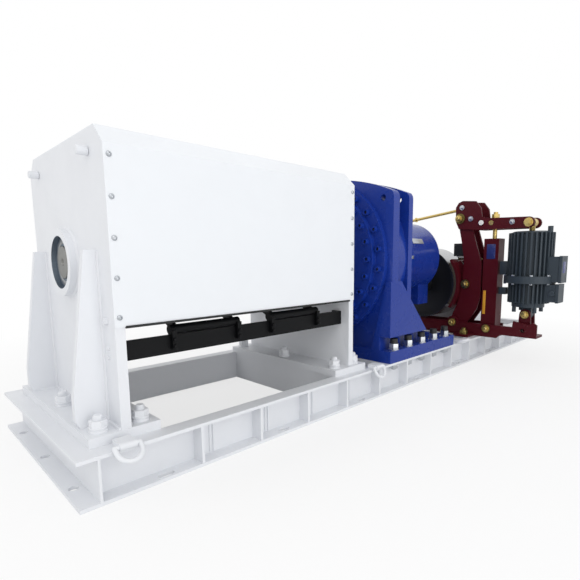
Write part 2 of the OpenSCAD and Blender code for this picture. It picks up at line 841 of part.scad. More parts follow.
// Flared leg under one side of the front plate
leg_share = 0.4;
leg_top_share = 0.12;
leg_t = 24;
module gear_leg() {
    half = gear_plate_w / 2;
    foot_top = rail_h + gear_foot_t;
    leg_top = foot_top + (gear_plate_h - gear_foot_t) * leg_share;
    leg_l = gear_foot_l * 0.58;
    intersection() {
        plate_yz(gear_foot_x, leg_l + gear_foot_out) polygon([
            [half, foot_top - cut], [half, leg_top], [half - leg_t, leg_top], [half - leg_t * 4,
            foot_top - cut]
        ]);
        plate_xz(half - leg_t * 4, leg_t * 4) polygon([
            [gear_foot_x, foot_top - cut], [gear_foot_x,
            leg_top], [gear_foot_x + leg_l * leg_top_share * 2, leg_top],
            [gear_foot_x + leg_l, foot_top + leg_t], [gear_foot_x + leg_l, foot_top - cut]
        ]);
    }
}

// Plates, ring and foot of the gear unit, cast in one
gear_ring_r = 346;
eye_hole_r = 13;
module gear_housing() {
    eye_y = gear_plate_w / 2 - gear_corner_r * 1.4;
    eye_z = gear_top_z - gear_arch - gear_corner_r;
    color(blue_paint) difference() {
        union() {
            plate_yz(gear_plate_x, gear_plate_t) gear_plate_outline();
            plate_yz(back_plate_x, back_plate_t) gear_plate_outline();
            x_rod(gear_plate_x + cut, 0, drum_z, gear_ring_r, back_plate_x - gear_plate_x);
            translate([gear_foot_x, -frame_w / 2, rail_h]) cube([gear_foot_l, frame_w, gear_foot_t]);
            both_sides() gear_leg();
        }
        for (x = [gear_plate_x, back_plate_x], s = [-1, 1])
            x_bore(x, s * eye_y, eye_z, eye_hole_r, gear_plate_t);
        for (i = [0:foot_bolts_n - 1], s = [-1, 1])
            z_bore(foot_bolt_x(i), s * foot_bolt_y, rail_h, foot_bolt_r + side_fit, gear_foot_t);
        both_sides() translate([gear_foot_x - cut, pocket_y, rail_h + gear_foot_t])
            cube([gear_foot_l, frame_w, pocket_h]);
        x_bore(gear_plate_x, 0, drum_z, gear_spigot_r, planet_case_x - gear_plate_x);
    }
}
gear_spigot_r = 160;

// Bolted front flange with a raised hub disc and a shaft seal bore
module gear_front_flange() {
    disc_r = inner_bolt_r + (outer_bolt_r - inner_bolt_r) / 2;
    seal_r = drum_shaft_r * 1.3 + running_fit * 4;
    color(blue_paint) difference() {
        union() {
            x_rod(flange_x, 0, drum_z, front_flange_r, front_flange_t);
            x_rod(gear_front_x, 0, drum_z, disc_r, hub_disc_t + cut);
            x_rod(gear_plate_x - cut, 0, drum_z, gear_spigot_r - side_fit / 4, gear_plate_t);
        }
        x_rod(gear_front_x - cut, 0, drum_z, seal_r, hub_disc_t + cut);
        bolt_rows(cut) cylinder(r = small_bolt_r + side_fit, h = gear_bolt_depth);
    }
}
gear_bolt_depth = 20;

// A bolt at each place of the outer and the inner row
module bolt_rows(back) {
    for (p = [[flange_x, outer_bolt_r, 0.5], [gear_front_x, inner_bolt_r, 0]], i = [0:gear_bolts_n - 1])
        along_x(p[0] - back, 0, drum_z) rotate([0, 0, (i + p[2]) * 360 / gear_bolts_n])
            translate([p[1], 0, 0]) children();
}

module gear_flange_bolts() {
    color(blue_paint) bolt_rows(0) mirror([0, 0, 1]) socket_screw(small_bolt_r, gear_bolt_depth - cut * 3);
}

// Round planet case behind the back plate, with its bolted flanges
module planet_case() {
    rim_r = planet_case_r * 1.12;
    rim_t = 26;
    color(blue_paint) along_x(planet_case_x, 0, drum_z) {
        rotate_extrude($fn = 96) polygon([
            [0, 0], [rim_r, 0], [rim_r, rim_t], [planet_case_r * 0.94, rim_t * 1.6],
            [planet_case_r * 0.94, planet_case_l * 0.45], [rim_r * 0.97, planet_case_l * 0.5],
            [rim_r * 0.97, planet_case_l * 0.5 + rim_t * 1.6], [planet_case_r,
            planet_case_l * 0.5 + rim_t * 2],
            [planet_case_r, planet_case_l], [0, planet_case_l]
        ]);
        for (a = [0:30:330])
            rotate([0, 0, a + 15]) translate([planet_case_r * 1.04, 0, rim_t])
                cylinder(r = small_bolt_r * 1.4, h = small_bolt_r * 1.2, $fn = 6);
    }
}

// Input case: round above, and a lower box round the input shaft
input_hub_r = 62;
input_hub_l = 16;
module input_case() {
    low = brake_axis_h - input_case_half * 0.82;
    color(blue_paint) difference() {
        union() {
            x_rod(input_case_x, 0, drum_z, planet_case_r, input_case_l);
            translate([input_case_x, -input_case_half, rail_h + low])
                cube([input_case_l, input_case_half * 2, drum_axis_h - low]);
            translate([input_mid_x, 0, drum_z]) cylinder(r = plug_r * 1.4, h = planet_case_r + plug_up);
            x_rod(input_end_x - cut, 0, brake_z, input_hub_r, input_hub_l + cut);
            for (a = [0:60:300])
                along_x(input_end_x + input_hub_l - cut, 0, brake_z) rotate([0, 0, a])
                    translate([input_hub_r * 0.78, 0, 0])
                        cylinder(r = small_bolt_r * 0.8, h = small_bolt_r * 0.6 + cut, $fn = 6);
        }
        x_rod(input_seat_x, 0, brake_z, input_shaft_r + running_fit, input_case_l + input_hub_l);
    }
}
input_shaft_r = 32;
input_seat_x = input_case_x + input_case_l / 4;

// Filler, drain and level plugs and the breather
plug_r = 16;
plug_up = 6;
module gear_plugs() {
    color(bright_steel) {
        translate([input_mid_x, 0, drum_z + planet_case_r + plug_up]) {
            cylinder(r = plug_r, h = plug_r * 1.6);
            up(plug_r * 1.6) cylinder(r = plug_r * 1.3, h = plug_r, $fn = 6);
        }
        along_y(input_mid_x, input_case_half, brake_z - plug_r * 4)
            cylinder(r = plug_r, h = plug_r * 0.8, $fn = 6);
        y_rod(input_mid_x, input_case_half, brake_z - plug_r * 1.3, plug_r * 1.2, plug_r * 0.7);
    }
}

module gear_foot_bolts() {
    color(bright_steel) for (i = [0:foot_bolts_n - 1], s = [-1, 1])
        translate([foot_bolt_x(i), s * foot_bolt_y, rail_h + gear_foot_t]) {
            through_bolt(foot_bolt_r, gear_foot_t + rail_flange_t, 0);
            up(foot_bolt_r * 1.6 - cut) cylinder(r = foot_bolt_r * 1.73, h = nut_extra + cut, $fn = 6);
        }
}
nut_extra = 8;

// Dark caps over the ends of the foot studs
module bolt_caps() {
    cap_z = rail_h + gear_foot_t + foot_bolt_r * 1.6 + nut_extra;
    color(dark_steel) for (i = [0:foot_bolts_n - 1], s = [-1, 1])
        translate([foot_bolt_x(i), s * foot_bolt_y, cap_z])
            cylinder(r = foot_bolt_r * 1.35, h = foot_bolt_r * 1.7);
}

// Input shaft from the gear unit to the motor coupling
module input_shaft() {
    start_x = input_seat_x + side_fit;
    color(bright_steel)
        x_rod(start_x, 0, brake_z, input_shaft_r, brake_drum_x + brake_drum_w + motor_gap / 4 - start_x);
}

// Brake drum: a rim on a web and a hub
module brake_drum() {
    rim_t = 14;
    web_t = 18;
    hub_r = input_shaft_r * 1.8;
    web_x = brake_drum_w * 0.12;
    color(dark_steel) along_x(brake_drum_x, 0, brake_z) rotate_extrude($fn = 96) {
        translate([brake_drum_r - rim_t, 0]) square([rim_t, brake_drum_w]);
        translate([input_shaft_r, web_x]) square([brake_drum_r - input_shaft_r - rim_t / 2, web_t]);
        translate([input_shaft_r, -web_t]) square([hub_r - input_shaft_r, brake_drum_w + web_t]);
    }
}

// Claw coupling between the input shaft and the motor shaft
motor_shaft_r = 24;
motor_coupling_r = 68;
module motor_coupling() {
    x = brake_drum_x + brake_drum_w + side_fit;
    l = motor_gap - motor_bracket_t - side_fit * 2 - motor_bracket_t / 2;
    color(grey_cast) {
        difference() {
            union() {
                x_rod(x, 0, brake_z, motor_coupling_r, l * 0.42);
                x_rod(x + l * 0.58, 0, brake_z, motor_coupling_r, l * 0.42);
                x_rod(x + l * 0.3, 0, brake_z, motor_coupling_r * 0.86, l * 0.4);
            }
            x_rod(x - cut, 0, brake_z, input_shaft_r, motor_gap / 4 + cut);
        }
        x_rod(x + l * 0.9, 0, brake_z, motor_shaft_r, motor_gap - l * 0.9 + motor_shaft_r);
    }
}

// Square outline with cut corners
module cut_square(w, c) {
    intersection() {
        square(w, center = true);
        rotate(45) square((w - c) * sqrt(2), center = true);
    }
}

motor_flange_t = 20;
module servo_motor() {
    body_x = motor_flange_x + motor_flange_t;
    fin_w = motor_w * 0.5;
    fins_n = 7;
    fin_t = fin_w / (fins_n * 2);
    flange_w = motor_w * 1.12;
    encoder_l = motor_l * 0.18;
    color(dark_steel) {
        difference() {
            union() {
                translate([motor_flange_x, 0, brake_z]) rotate([90, 0, 90])
                    linear_extrude(motor_flange_t) cut_square(flange_w, flange_w / 10);
                translate([body_x - cut, 0, brake_z]) rotate([90, 0, 90])
                    linear_extrude(motor_l + cut) cut_square(motor_w * 0.94, motor_w / 8);
                translate([body_x + motor_l - cut, 0, brake_z]) rotate([90, 0, 90])
                    linear_extrude(encoder_l) cut_square(motor_w * 0.8, motor_w / 8);
                for (a = [0:90:270], i = [0:fins_n - 1])
                    translate([body_x + motor_l * 0.08, 0, brake_z]) rotate([a, 0, 0])
                        translate([0, -fin_w / 2 + (i * 2 + 0.5) * fin_t, 0])
                            cube([motor_l * 0.84, fin_t, motor_w / 2]);
            }
            x_rod(motor_flange_x - cut, 0, brake_z, motor_shaft_r + running_fit, motor_shaft_r * 2);
            for (y = [-1, 1], z = [-1, 1])
                x_bore(motor_flange_x, y * motor_bolt_half, brake_z + z * motor_bolt_half,
                    small_bolt_r + side_fit, motor_flange_t);
        }
        for (i = [0, 1])
            translate([body_x + motor_l * (0.55 + i * 0.25), 0, brake_z + motor_w / 2 - cut]) {
                translate([-motor_w / 8, -motor_w / 8, 0]) cube([motor_w / 5, motor_w / 4, motor_w / 12]);
                up(motor_w / 12) cylinder(r = motor_w / 14, h = motor_w / 6);
            }
    }
}
motor_bolt_half = motor_w * 0.47;

// Upright plate, ribs and foot that carry the motor
module motor_bracket() {
    half = motor_w * 0.65;
    foot_t = motor_foot_t;
    top_z = brake_z + half;
    color(white_paint) difference() {
        union() {
            translate([motor_bracket_x, -half, rail_h]) cube([motor_bracket_t, half * 2, top_z - rail_h]);
            translate([motor_bracket_x, -half * 1.3, rail_h]) cube([motor_foot_l, half * 2.6, foot_t]);
            both_sides() plate_xz(half - foot_t, foot_t) polygon([
                [motor_bracket_x, rail_h], [motor_bracket_x + motor_foot_l, rail_h],
                [motor_bracket_x + motor_foot_l, rail_h + foot_t * 2],
                [motor_bracket_x + motor_bracket_t * 2, brake_z], [motor_bracket_x, brake_z]
            ]);
        }
        x_bore(motor_bracket_x, 0, brake_z, motor_coupling_r * 1.1, motor_bracket_t);
        for (y = [-1, 1], z = [-1, 1])
            x_bore(motor_bracket_x, y * motor_bolt_half, brake_z + z * motor_bolt_half,
                small_bolt_r + side_fit, motor_bracket_t);
        for (x = motor_foot_rows, y = [-1, 1])
            z_bore(x, y * half * 1.15, rail_h, small_bolt_r + side_fit, motor_foot_t);
    }
}
motor_foot_rows = [motor_bracket_x + cross_w * 0.56, motor_bracket_x + motor_foot_l - cross_w * 0.56];

module motor_bolts() {
    half = motor_w * 0.65;
    color(bright_steel) {
        for (y = [-1, 1], z = [-1, 1])
            along_x(motor_bracket_x, y * motor_bolt_half, brake_z + z * motor_bolt_half) mirror([0, 0, 1])
                through_bolt(small_bolt_r, motor_bracket_t + motor_flange_t, 0);
        for (x = motor_foot_rows, y = [-1, 1])
            translate([x, y * half * 1.15, rail_h + motor_foot_t]) {
                bolt_top(small_bolt_r, small_bolt_r / 2);
                up(-motor_foot_t) cylinder(r = small_bolt_r, h = motor_foot_t);
            }
    }
}

// Both plates of a brake piece, drawn in (out, z) with out towards -Y
module brake_plates(half_gap, t) {
    for (x = [brake_x - half_gap - t, brake_x + half_gap])
        plate_yz(x, t) mirror([1, 0]) children();
}

// A bar across the brake, and a pin with a flat round head at each end
module cross_rod(out, z, r, half_l) {
    x_rod(brake_x - half_l, -out, z, r, half_l * 2);
}

module both_ends(out, z, half_l) {
    for (s = [0, 1]) translate([brake_x, 0, 0]) mirror([s, 0, 0]) along_x(half_l, -out, z) children();
}

module cross_pin(out, z, r, half_l, head_r, head_t) {
    cross_rod(out, z, r, half_l);
    both_ends(out, z, half_l) cylinder(r = head_r, h = head_t);
}

// A bore right across the brake
module cross_bore(out, z, r) {
    cross_rod(out, z, r, bore_half);
}
bore_half = 100;

// A washer, a nut and the thread's end on both ends of a pin across the brake
module pin_nuts(out, z, r, half_l) {
    nut_h = r * 0.8;
    both_ends(out, z, half_l) {
        cylinder(r = r * 1.83, h = r * 0.3);
        up(r * 0.3) cylinder(r = r * 1.35, h = nut_h, $fn = 6);
        up(nut_h) cylinder(r = r * 0.8, h = r * 0.6);
    }
}

// Base of the brake: side plates on a bottom plate, with the thruster's ears
pin_boss_r = 34;
base_far_end = 345;
base_near_end = thruster_y + 68;
base_spread = 85;
base_side_h = 68;
base_bottom_t = 12;
ear_half = 22;
ear_t = 12;
base_rise = 20;
module base_side_outline() {
    rail_edge = frame_w / 2 + base_spread;
    polygon([
        [-base_far_end, rail_h], [rail_edge, rail_h], [rail_edge + base_rise, rail_h + base_rise],
        [base_near_end, rail_h + base_rise], [base_near_end, rail_h + base_side_h + base_rise],
        [thruster_y + pin_boss_r * 1.5, rail_h + base_side_h + base_rise * 1.6],
        [thruster_y + pin_boss_r * 0.8, rail_h + base_side_h + base_rise],
        [thruster_y - pin_boss_r * 1.4, rail_h + base_side_h + base_rise * 1.6],
        [thruster_y - pin_boss_r * 1.5, rail_h + base_side_h],
        [-base_far_end + base_rise, rail_h + base_side_h], [-base_far_end, rail_h + base_side_h - base_rise]
    ]);
    for (s = [-1, 1]) translate([s * lever_foot_y, lever_foot_z]) circle(pin_boss_r);
}

module brake_base() {
    bottom_near = frame_w / 2 + base_spread;
    far_plate_end = spring_y + spring_tube_w * 0.6;
    open_x = brake_x + ear_half + ear_t;
    color(red_paint) difference() {
        union() {
            difference() {
                union() {
                    brake_plates(base_half, base_side_t) base_side_outline();
                    translate([brake_x - base_half - cut, -base_near_end, rail_h + base_rise])
                        cube([(base_half + cut) * 2, base_near_end - bottom_near - base_rise, base_bottom_t]);
                }
                translate([open_x, -base_near_end - cut, rail_h])
                    cube([base_half, base_near_end + cut - far_plate_end, base_side_h * 2]);
            }
            translate([brake_x - base_half - cut, -far_plate_end, rail_h])
                cube([(base_half + cut) * 2, far_plate_end + base_far_end, base_bottom_t]);
            brake_plates(ear_half, ear_t) ear_outline();
            for (s = [-1, 1], y = [-1, 1])
                translate([brake_x + s * lug_x - lug_w / 2, y * lug_y - lug_w / 2, rail_h])
                    cube([lug_w, lug_w, base_bottom_t]);
        }
        for (s = [-1, 1]) cross_bore(s * lever_foot_y, lever_foot_z, brake_pin_r);
        cross_bore(spring_y, spring_foot_z, brake_pin_r);
        cross_bore(thruster_y, thruster_foot_z, brake_pin_r);
        cross_bore(thruster_y, rail_h + base_side_h / 2 + base_rise, small_bolt_r * 1.4);
        for (p = brake_bolt_at) z_bore(p[0], p[1], rail_h, stand_bolt_r + side_fit, base_bottom_t);
    }
}
module ear_outline() {
    polygon([
        [thruster_y - pin_boss_r, rail_h + base_rise], [thruster_y + pin_boss_r, rail_h + base_rise],
        [thruster_y + pin_boss_r * 0.8, thruster_foot_z], [thruster_y - pin_boss_r * 0.8, thruster_foot_z]
    ]);
    translate([thruster_y, thruster_foot_z]) circle(pin_boss_r * 0.8);
}

// Pins held in the base, and the bolts of its lugs
pin_fit_r = brake_pin_r - running_fit;
module brake_base_pins() {
    outer = base_half + base_side_t;
    color(bright_steel) {
        for (s = [-1, 1])
            cross_pin(s * lever_foot_y, lever_foot_z, pin_fit_r, outer, brake_pin_r * 1.5, lever_t / 2);
        cross_pin(spring_y, spring_foot_z, pin_fit_r, outer, brake_pin_r * 1.5, lever_t / 2);
        cross_pin(thruster_y, thruster_foot_z, pin_fit_r, ear_half + ear_t, brake_pin_r * 1.4, lever_t / 2);
        for (p = brake_bolt_at)
            translate([p[0], p[1], rail_h + base_bottom_t])
                through_bolt(stand_bolt_r, base_bottom_t + rail_flange_t, stand_bolt_r);
    }
}

// Lever outline: shares of its reach and of its height, from the foot pin
lever_reach = 162;
lever_shares = [
    [-0.2, -0.02], [0, -0.058], [0.2, -0.03], [0.5, 0.01], [0.8, 0.14], [0.9, 0.25], [0.9, 0.58],
    [0.76, 0.71], [0.57, 0.88], [0.36, 1.02], [-0.05, 1.02], [0.1, 0.9], [0.18, 0.8], [0.27, 0.66],
    [0.3, 0.59], [0.27, 0.38], [0.125, 0.19]
];
lever_end_r = 33;
module lever_outline() {
    translate([lever_foot_y, lever_foot_z]) {
        polygon([for (p = lever_shares) [p[0] * lever_reach, p[1] * lever_h]]);
        circle(lever_end_r);
        translate([lever_head_out, lever_h]) circle(lever_end_r);
        translate([shoe_pin_out, brake_z - lever_foot_z]) circle(brake_pin_r * 1.6);
    }
}
lever_spacer_y = lever_foot_y + lever_reach * 0.6;
lever_spacer_z = lever_foot_z + lever_h * 0.62;

// A lever: two plates, a spacer, and bores for the foot, shoe and head pins
module near_lever() {
    color(red_paint) difference() {
        union() {
            brake_plates(lever_gap / 2, lever_t) lever_outline();
            x_rod(brake_x - lever_gap / 2 - cut, -lever_spacer_y, lever_spacer_z, lever_end_r / 2,
                lever_gap + cut * 2);
        }
        y_rod(brake_x, -lever_spacer_y - lever_end_r, lever_spacer_z, adjust_r, lever_end_r * 2);
        for (p = [[lever_foot_y, lever_foot_z], [shoe_pin_y, brake_z], [lever_head_y, lever_head_z]])
            cross_bore(p[0], p[1], brake_pin_r);
    }
}

module far_lever() {
    mirror([0, 1, 0]) near_lever();
}

// Pins of a lever, and the screw that sets its shoe's slant
adjust_r = 5;
module lever_pins(head_half) {
    shoe_half = lever_gap / 2 + lever_t;
    screw_y = lever_spacer_y + lever_end_r;
    color(bright_steel) {
        cross_pin(shoe_pin_y, brake_z, pin_fit_r, shoe_half, brake_pin_r * 1.65, lever_t * 0.7);
        cross_rod(lever_head_y, lever_head_z, pin_fit_r, head_half);
        pin_nuts(lever_head_y, lever_head_z, brake_pin_r, head_half);
        y_rod(brake_x, -screw_y, lever_spacer_z, adjust_r, screw_y - lever_foot_y);
        for (y = [lever_foot_y, screw_y - lever_end_r * 0.3])
            along_y(brake_x, -y, lever_spacer_z) cylinder(r = adjust_r * 1.73, h = adjust_r, $fn = 6);
    }
}

module near_lever_pins() {
    lever_pins(crank_x_half + lever_t + side_fit);
}

module far_lever_pins() {
    mirror([0, 1, 0]) lever_pins(lever_gap / 2 + lever_t);
}

// Brake shoe: a curved table, two webs and a pin hub
shoe_angle = 76;
shoe_table_t = 14;
shoe_in_r = brake_drum_r + side_fit + lining_t;
module arc_band(r_in, t, w, angle) {
    along_x(brake_x - w / 2, 0, brake_z) rotate([0, 0, -90 - angle / 2])
        rotate_extrude(angle = angle, $fn = 96) translate([r_in, 0]) square([t, w]);
}

module near_shoe() {
    web_half = lever_gap / 2 - lever_t;
    web_t = 10;
    color(red_paint) difference() {
        union() {
            arc_band(shoe_in_r, shoe_table_t, shoe_w, shoe_angle);
            brake_plates(web_half - web_t, web_t) translate([0, brake_z]) intersection() {
                circle(shoe_pin_y + pin_boss_r * 0.8);
                for (s = [-1, 1]) polygon([
                    [shoe_in_r * cos(shoe_angle * 0.45), 0],
                    [shoe_in_r * cos(shoe_angle * 0.45), s * shoe_in_r * sin(shoe_angle * 0.45)],
                    [shoe_in_r * cos(shoe_angle * 0.3) + shoe_table_t, s * shoe_in_r * sin(shoe_angle * 0.5)],
                    [shoe_pin_y + pin_boss_r, s * pin_boss_r], [shoe_pin_y + pin_boss_r, 0]
                ]);
            }
        }
        x_rod(brake_x - shoe_w, 0, brake_z, shoe_in_r, shoe_w * 2);
        cross_bore(shoe_pin_y, brake_z, brake_pin_r);
    }
}

module far_shoe() {
    mirror([0, 1, 0]) near_shoe();
}

module near_lining() {
    color(dark_steel) arc_band(brake_drum_r + side_fit, lining_t, shoe_w * 0.97, shoe_angle * 0.92);
}

module far_lining() {
    mirror([0, 1, 0]) near_lining();
}

// Release crank outline: shares of its reach, from the lever's head pin
crank_shares = [
    [-0.07, -0.045], [-0.08, 0.17], [-0.035, 0.24], [0.03, 0.265], [0.235, 0.245], [0.315, 0.14],
    [0.335, 0.01], [0.445, -0.017], [1, -0.031], [1, -0.183], [0.27, -0.18], [-0.02, -0.155]
];
crank_end_r = 27;
module release_crank() {
    color(red_paint) difference() {
        brake_plates(crank_x_half, lever_t) {
            translate([lever_head_y, lever_head_z]) polygon([for (p = crank_shares) p * crank_reach]);
            translate([thruster_y, thruster_head_z]) circle(crank_end_r);
        }
        cross_bore(lever_head_y, lever_head_z, brake_pin_r);
        cross_bore(spring_y, spring_head_z, trunnion_r + link_play);
        cross_bore(thruster_y, thruster_head_z, trunnion_r + link_play);
        for (p = crank_bolt_spots)
            cross_bore(lever_head_y + p[0], lever_head_z + p[1], small_bolt_r + running_fit);
    }
}
trunnion_r = 12;
crank_bolt_spots = [
    [tie_pin_out, tie_pin_up], [crank_reach * 0.17, -crank_reach * 0.011],
    [crank_reach * 0.335, -crank_reach * 0.08], [crank_reach * 0.78, -crank_reach * 0.09]
];

// Spacer bolts of the crank; the first holds the tie rod
module crank_bolts() {
    color(bright_steel) for (p = crank_bolt_spots)
        cross_pin(lever_head_y + p[0], lever_head_z + p[1], small_bolt_r, crank_x_half + lever_t,
            small_bolt_r * 1.7, small_bolt_r * 0.7);
}

// Tie rod from the crank to the far lever's head pin
tie_rod_r = 8;
tie_eye_r = 20;
tie_eye_w = 30;
module tie_rod() {
    near_y = -lever_head_y - tie_pin_out;
    near_z = lever_head_z + tie_pin_up;
    dy = lever_head_y - near_y;
    dz = lever_head_z - near_z;
    rod_l = sqrt(dy * dy + dz * dz);
    color(bright_steel) translate([brake_x, near_y, near_z]) rotate([atan2(dz, dy), 0, 0]) difference() {
        union() {
            y_rod(0, 0, 0, tie_rod_r, rod_l);
            for (y = [0, rod_l])
                x_rod(-tie_eye_w / 2, y, 0, y == 0 ? tie_eye_r * 0.8 : tie_eye_r * 1.3, tie_eye_w);
            for (y = [rod_l * 0.72, rod_l * 0.8])
                along_y(0, y, 0) cylinder(r = tie_rod_r * 1.8, h = tie_rod_r, $fn = 6);
        }
        x_rod(-tie_eye_w, 0, 0, small_bolt_r + running_fit, tie_eye_w * 2);
        x_rod(-tie_eye_w, rod_l, 0, brake_pin_r + link_play, tie_eye_w * 2);
    }
}

// Square spring tube on its foot pin
spring_tube_wall = 6;
spring_top_gap = 81;
spring_tube_top = spring_head_z - spring_top_gap;
spring_rod_r = 11;
module spring_tube() {
    w = spring_tube_w;
    bottom_z = spring_foot_z - brake_pin_r * 1.6;
    inner = w - spring_tube_wall * 2;
    color(red_paint) difference() {
        translate([brake_x - w / 2, -spring_y - w / 2, bottom_z]) cube([w, w, spring_tube_top - bottom_z]);
        translate([brake_x - inner / 2, -spring_y - inner / 2, spring_foot_z + brake_pin_r * 2])
            cube([inner, inner, spring_tube_top - spring_foot_z - brake_pin_r * 2 - spring_tube_wall * 2]);
        translate([brake_x, -spring_y, spring_foot_z]) cylinder(r = spring_rod_r + side_fit, h = lever_h);
        cross_bore(spring_y, spring_foot_z, brake_pin_r);
    }
}

// Spring rod with its plate, and the trunnion block that sits in the crank
module spring_rod() {
    plate_z = spring_foot_z + brake_pin_r * 2 + lever_t * 3;
    block_half = crank_x_half - side_fit;
    block_w = 34;
    nut_h = 30;
    color(bright_steel) {
        translate([brake_x, -spring_y, plate_z])
            cylinder(r = spring_rod_r, h = spring_head_z + block_w / 2 + nut_h + spring_rod_r - plate_z);
        translate([brake_x, -spring_y, plate_z])
            cylinder(r = spring_tube_w / 2 - spring_tube_wall - side_fit * 8, h = lever_t);
        translate([brake_x - block_half, -spring_y - block_w / 2, spring_head_z - block_w / 2])
            cube([block_half * 2, block_w, block_w]);
        cross_rod(spring_y, spring_head_z, trunnion_r, crank_x_half + lever_t);
        for (i = [0, 1])
            translate([brake_x, -spring_y, spring_head_z + block_w / 2 + i * (nut_h / 2 + side_fit)])
                cylinder(r = spring_rod_r * 1.8, h = nut_h / 2, $fn = 6);
    }
}

// Thruster: finned upper body, flange, finned lower body and clevis foot
thruster_top_gap = 42;
thruster_top_z = thruster_head_z - thruster_top_gap;
thruster_flange_up = 162;
thruster_mid_z = thruster_foot_z + thruster_flange_up;
thruster_flange_t = 36;
fin_depth = 16;
thruster_rod_r = 14;
module finned_barrel(r, h, n) {
    core = r - fin_depth;
    cylinder(r = core, h = h);
    for (i = [0:n - 1])
        rotate([0, 0, (i + 0.5) * 360 / n]) translate([core - cut * 2, -r * 0.035, 0])
            cube([fin_depth + cut * 2, r * 0.07, h]);
}

module thruster_body() {
    upper_z = thruster_mid_z + thruster_flange_t;
    upper_h = thruster_top_z - upper_z;
    lower_h = thruster_flange_up - pin_boss_r * 1.8;
    dome_h = 8;
    color(grey_cast) translate([brake_x, -thruster_y, 0]) difference() {
        union() {
            up(upper_z - cut) finned_barrel(thruster_r, upper_h - dome_h, thruster_fins_n);
            up(thruster_top_z - dome_h - cut * 2)
                cylinder(r1 = thruster_r - fin_depth / 2, r2 = thruster_r - fin_depth * 1.5, h = dome_h);
            up(thruster_mid_z) cylinder(r = thruster_r * 1.14, h = thruster_flange_t);
            up(thruster_mid_z - lower_h + cut)
                finned_barrel(thruster_r * 0.92, lower_h, thruster_fins_n);
            up(thruster_mid_z - lower_h - pin_boss_r * 0.6)
                cylinder(r = thruster_r * 0.72, h = pin_boss_r * 0.6 + cut);
            for (a = [45:90:315])
                rotate([0, 0, a]) translate([thruster_r * 0.66, 0, thruster_foot_z + pin_boss_r * 0.4])
                    cylinder(r = fin_depth * 0.6, h = thruster_flange_up - lower_h);
            translate([0, -thruster_r * 0.8, thruster_top_z - fin_depth])
                cylinder(r = fin_depth * 0.75, h = fin_depth * 2.3);
            plate_yz(-ear_half + side_fit, (ear_half - side_fit) * 2) {
                translate([0, thruster_foot_z]) circle(pin_boss_r * 0.75);
                translate([-pin_boss_r * 0.75, thruster_foot_z])
                    square([pin_boss_r * 1.5, pin_boss_r * 1.4]);
            }
        }
        up(thruster_mid_z) cylinder(r = thruster_rod_r + running_fit, h = thruster_top_z);
        x_rod(-thruster_r, 0, thruster_foot_z, brake_pin_r, thruster_r * 2);
    }
}

// Lifting rod of the thruster, with its head between the crank's plates
module thruster_rod() {
    pin_half = crank_x_half + lever_t;
    color(bright_steel) {
        translate([brake_x, -thruster_y, thruster_mid_z + thruster_flange_t])
            cylinder(r = thruster_rod_r, h = thruster_head_z - thruster_mid_z - thruster_flange_t);
        cross_rod(thruster_y, thruster_head_z, thruster_rod_r * 1.5, thruster_rod_r * 1.5);
        cross_rod(thruster_y, thruster_head_z, trunnion_r, pin_half + side_fit);
        pin_nuts(thruster_y, thruster_head_z, trunnion_r, pin_half + side_fit);
    }
}

// Terminal box with its lid, and the lower box with its knob
module terminal_box(out, z, h) {
    box_w = thruster_r * 0.8;
    lid_t = thruster_r * 0.12;
    lid_over = lid_t / 4;
    translate([brake_x - box_w / 2, -thruster_y - out + lid_t, z])
        cube([box_w, out - lid_t - thruster_r * 0.7, h]);
    translate([brake_x - box_w / 2 - lid_over, -thruster_y - out, z - lid_over])
        cube([box_w + lid_over * 2, lid_t + cut, h + lid_over * 2]);
}

module terminal_boxes() {
    box_fit = 0.1;
    low_h = thruster_r * 0.81;
    low_z = thruster_mid_z - low_h * 1.05;
    color(grey_cast) {
        difference() {
            union() {
                terminal_box(thruster_r * 1.49, thruster_mid_z + fin_depth / 2, thruster_r * 1.17);
                terminal_box(thruster_r * 1.42, low_z, low_h);
            }
            translate([brake_x, -thruster_y, 0]) {
                cylinder(r = thruster_r * 0.92 + box_fit, h = thruster_top_z);
                up(thruster_mid_z - box_fit)
                    cylinder(r = thruster_r * 1.14 + box_fit, h = thruster_flange_t + box_fit * 2);
                up(thruster_mid_z) cylinder(r = thruster_r + box_fit, h = thruster_top_z);
            }
        }
        along_x(brake_x - thruster_r * 0.4, -thruster_y - thruster_r * 1.15, low_z + low_h / 2)
            mirror([0, 0, 1]) cylinder(r = fin_depth * 0.8, h = fin_depth * 0.8);
    }
}

// Limit switch on the near lever
switch_h = 70;
switch_w = 54;
switch_out = 26;
module limit_switch() {
    color(dark_steel) {
        translate([brake_x - lever_gap / 2, -lever_head_y - switch_out, brake_z + switch_h * 2.2])
            cube([switch_w, switch_h, switch_h]);
    }
}

// Pad eyes on the rails, each with a bore for a ring's bar
pad_w = ring_w - ring_bar_r;
module pad_eyes() {
    color(white_paint) both_sides() for (x = ring_x) difference() {
        union() {
            translate([x - pad_w / 2, frame_w / 2 - pad_w * 0.7, rail_h])
                cube([pad_w, pad_w * 0.7 + ring_bar_r * 1.5, ring_bar_r * 3]);
            x_rod(x - pad_w / 2, ring_axis_y, ring_axis_z, ring_bar_r * 1.5, pad_w);
        }
        x_rod(x - pad_w, ring_axis_y, ring_axis_z, ring_bar_r + running_fit, pad_w * 2);
    }
}

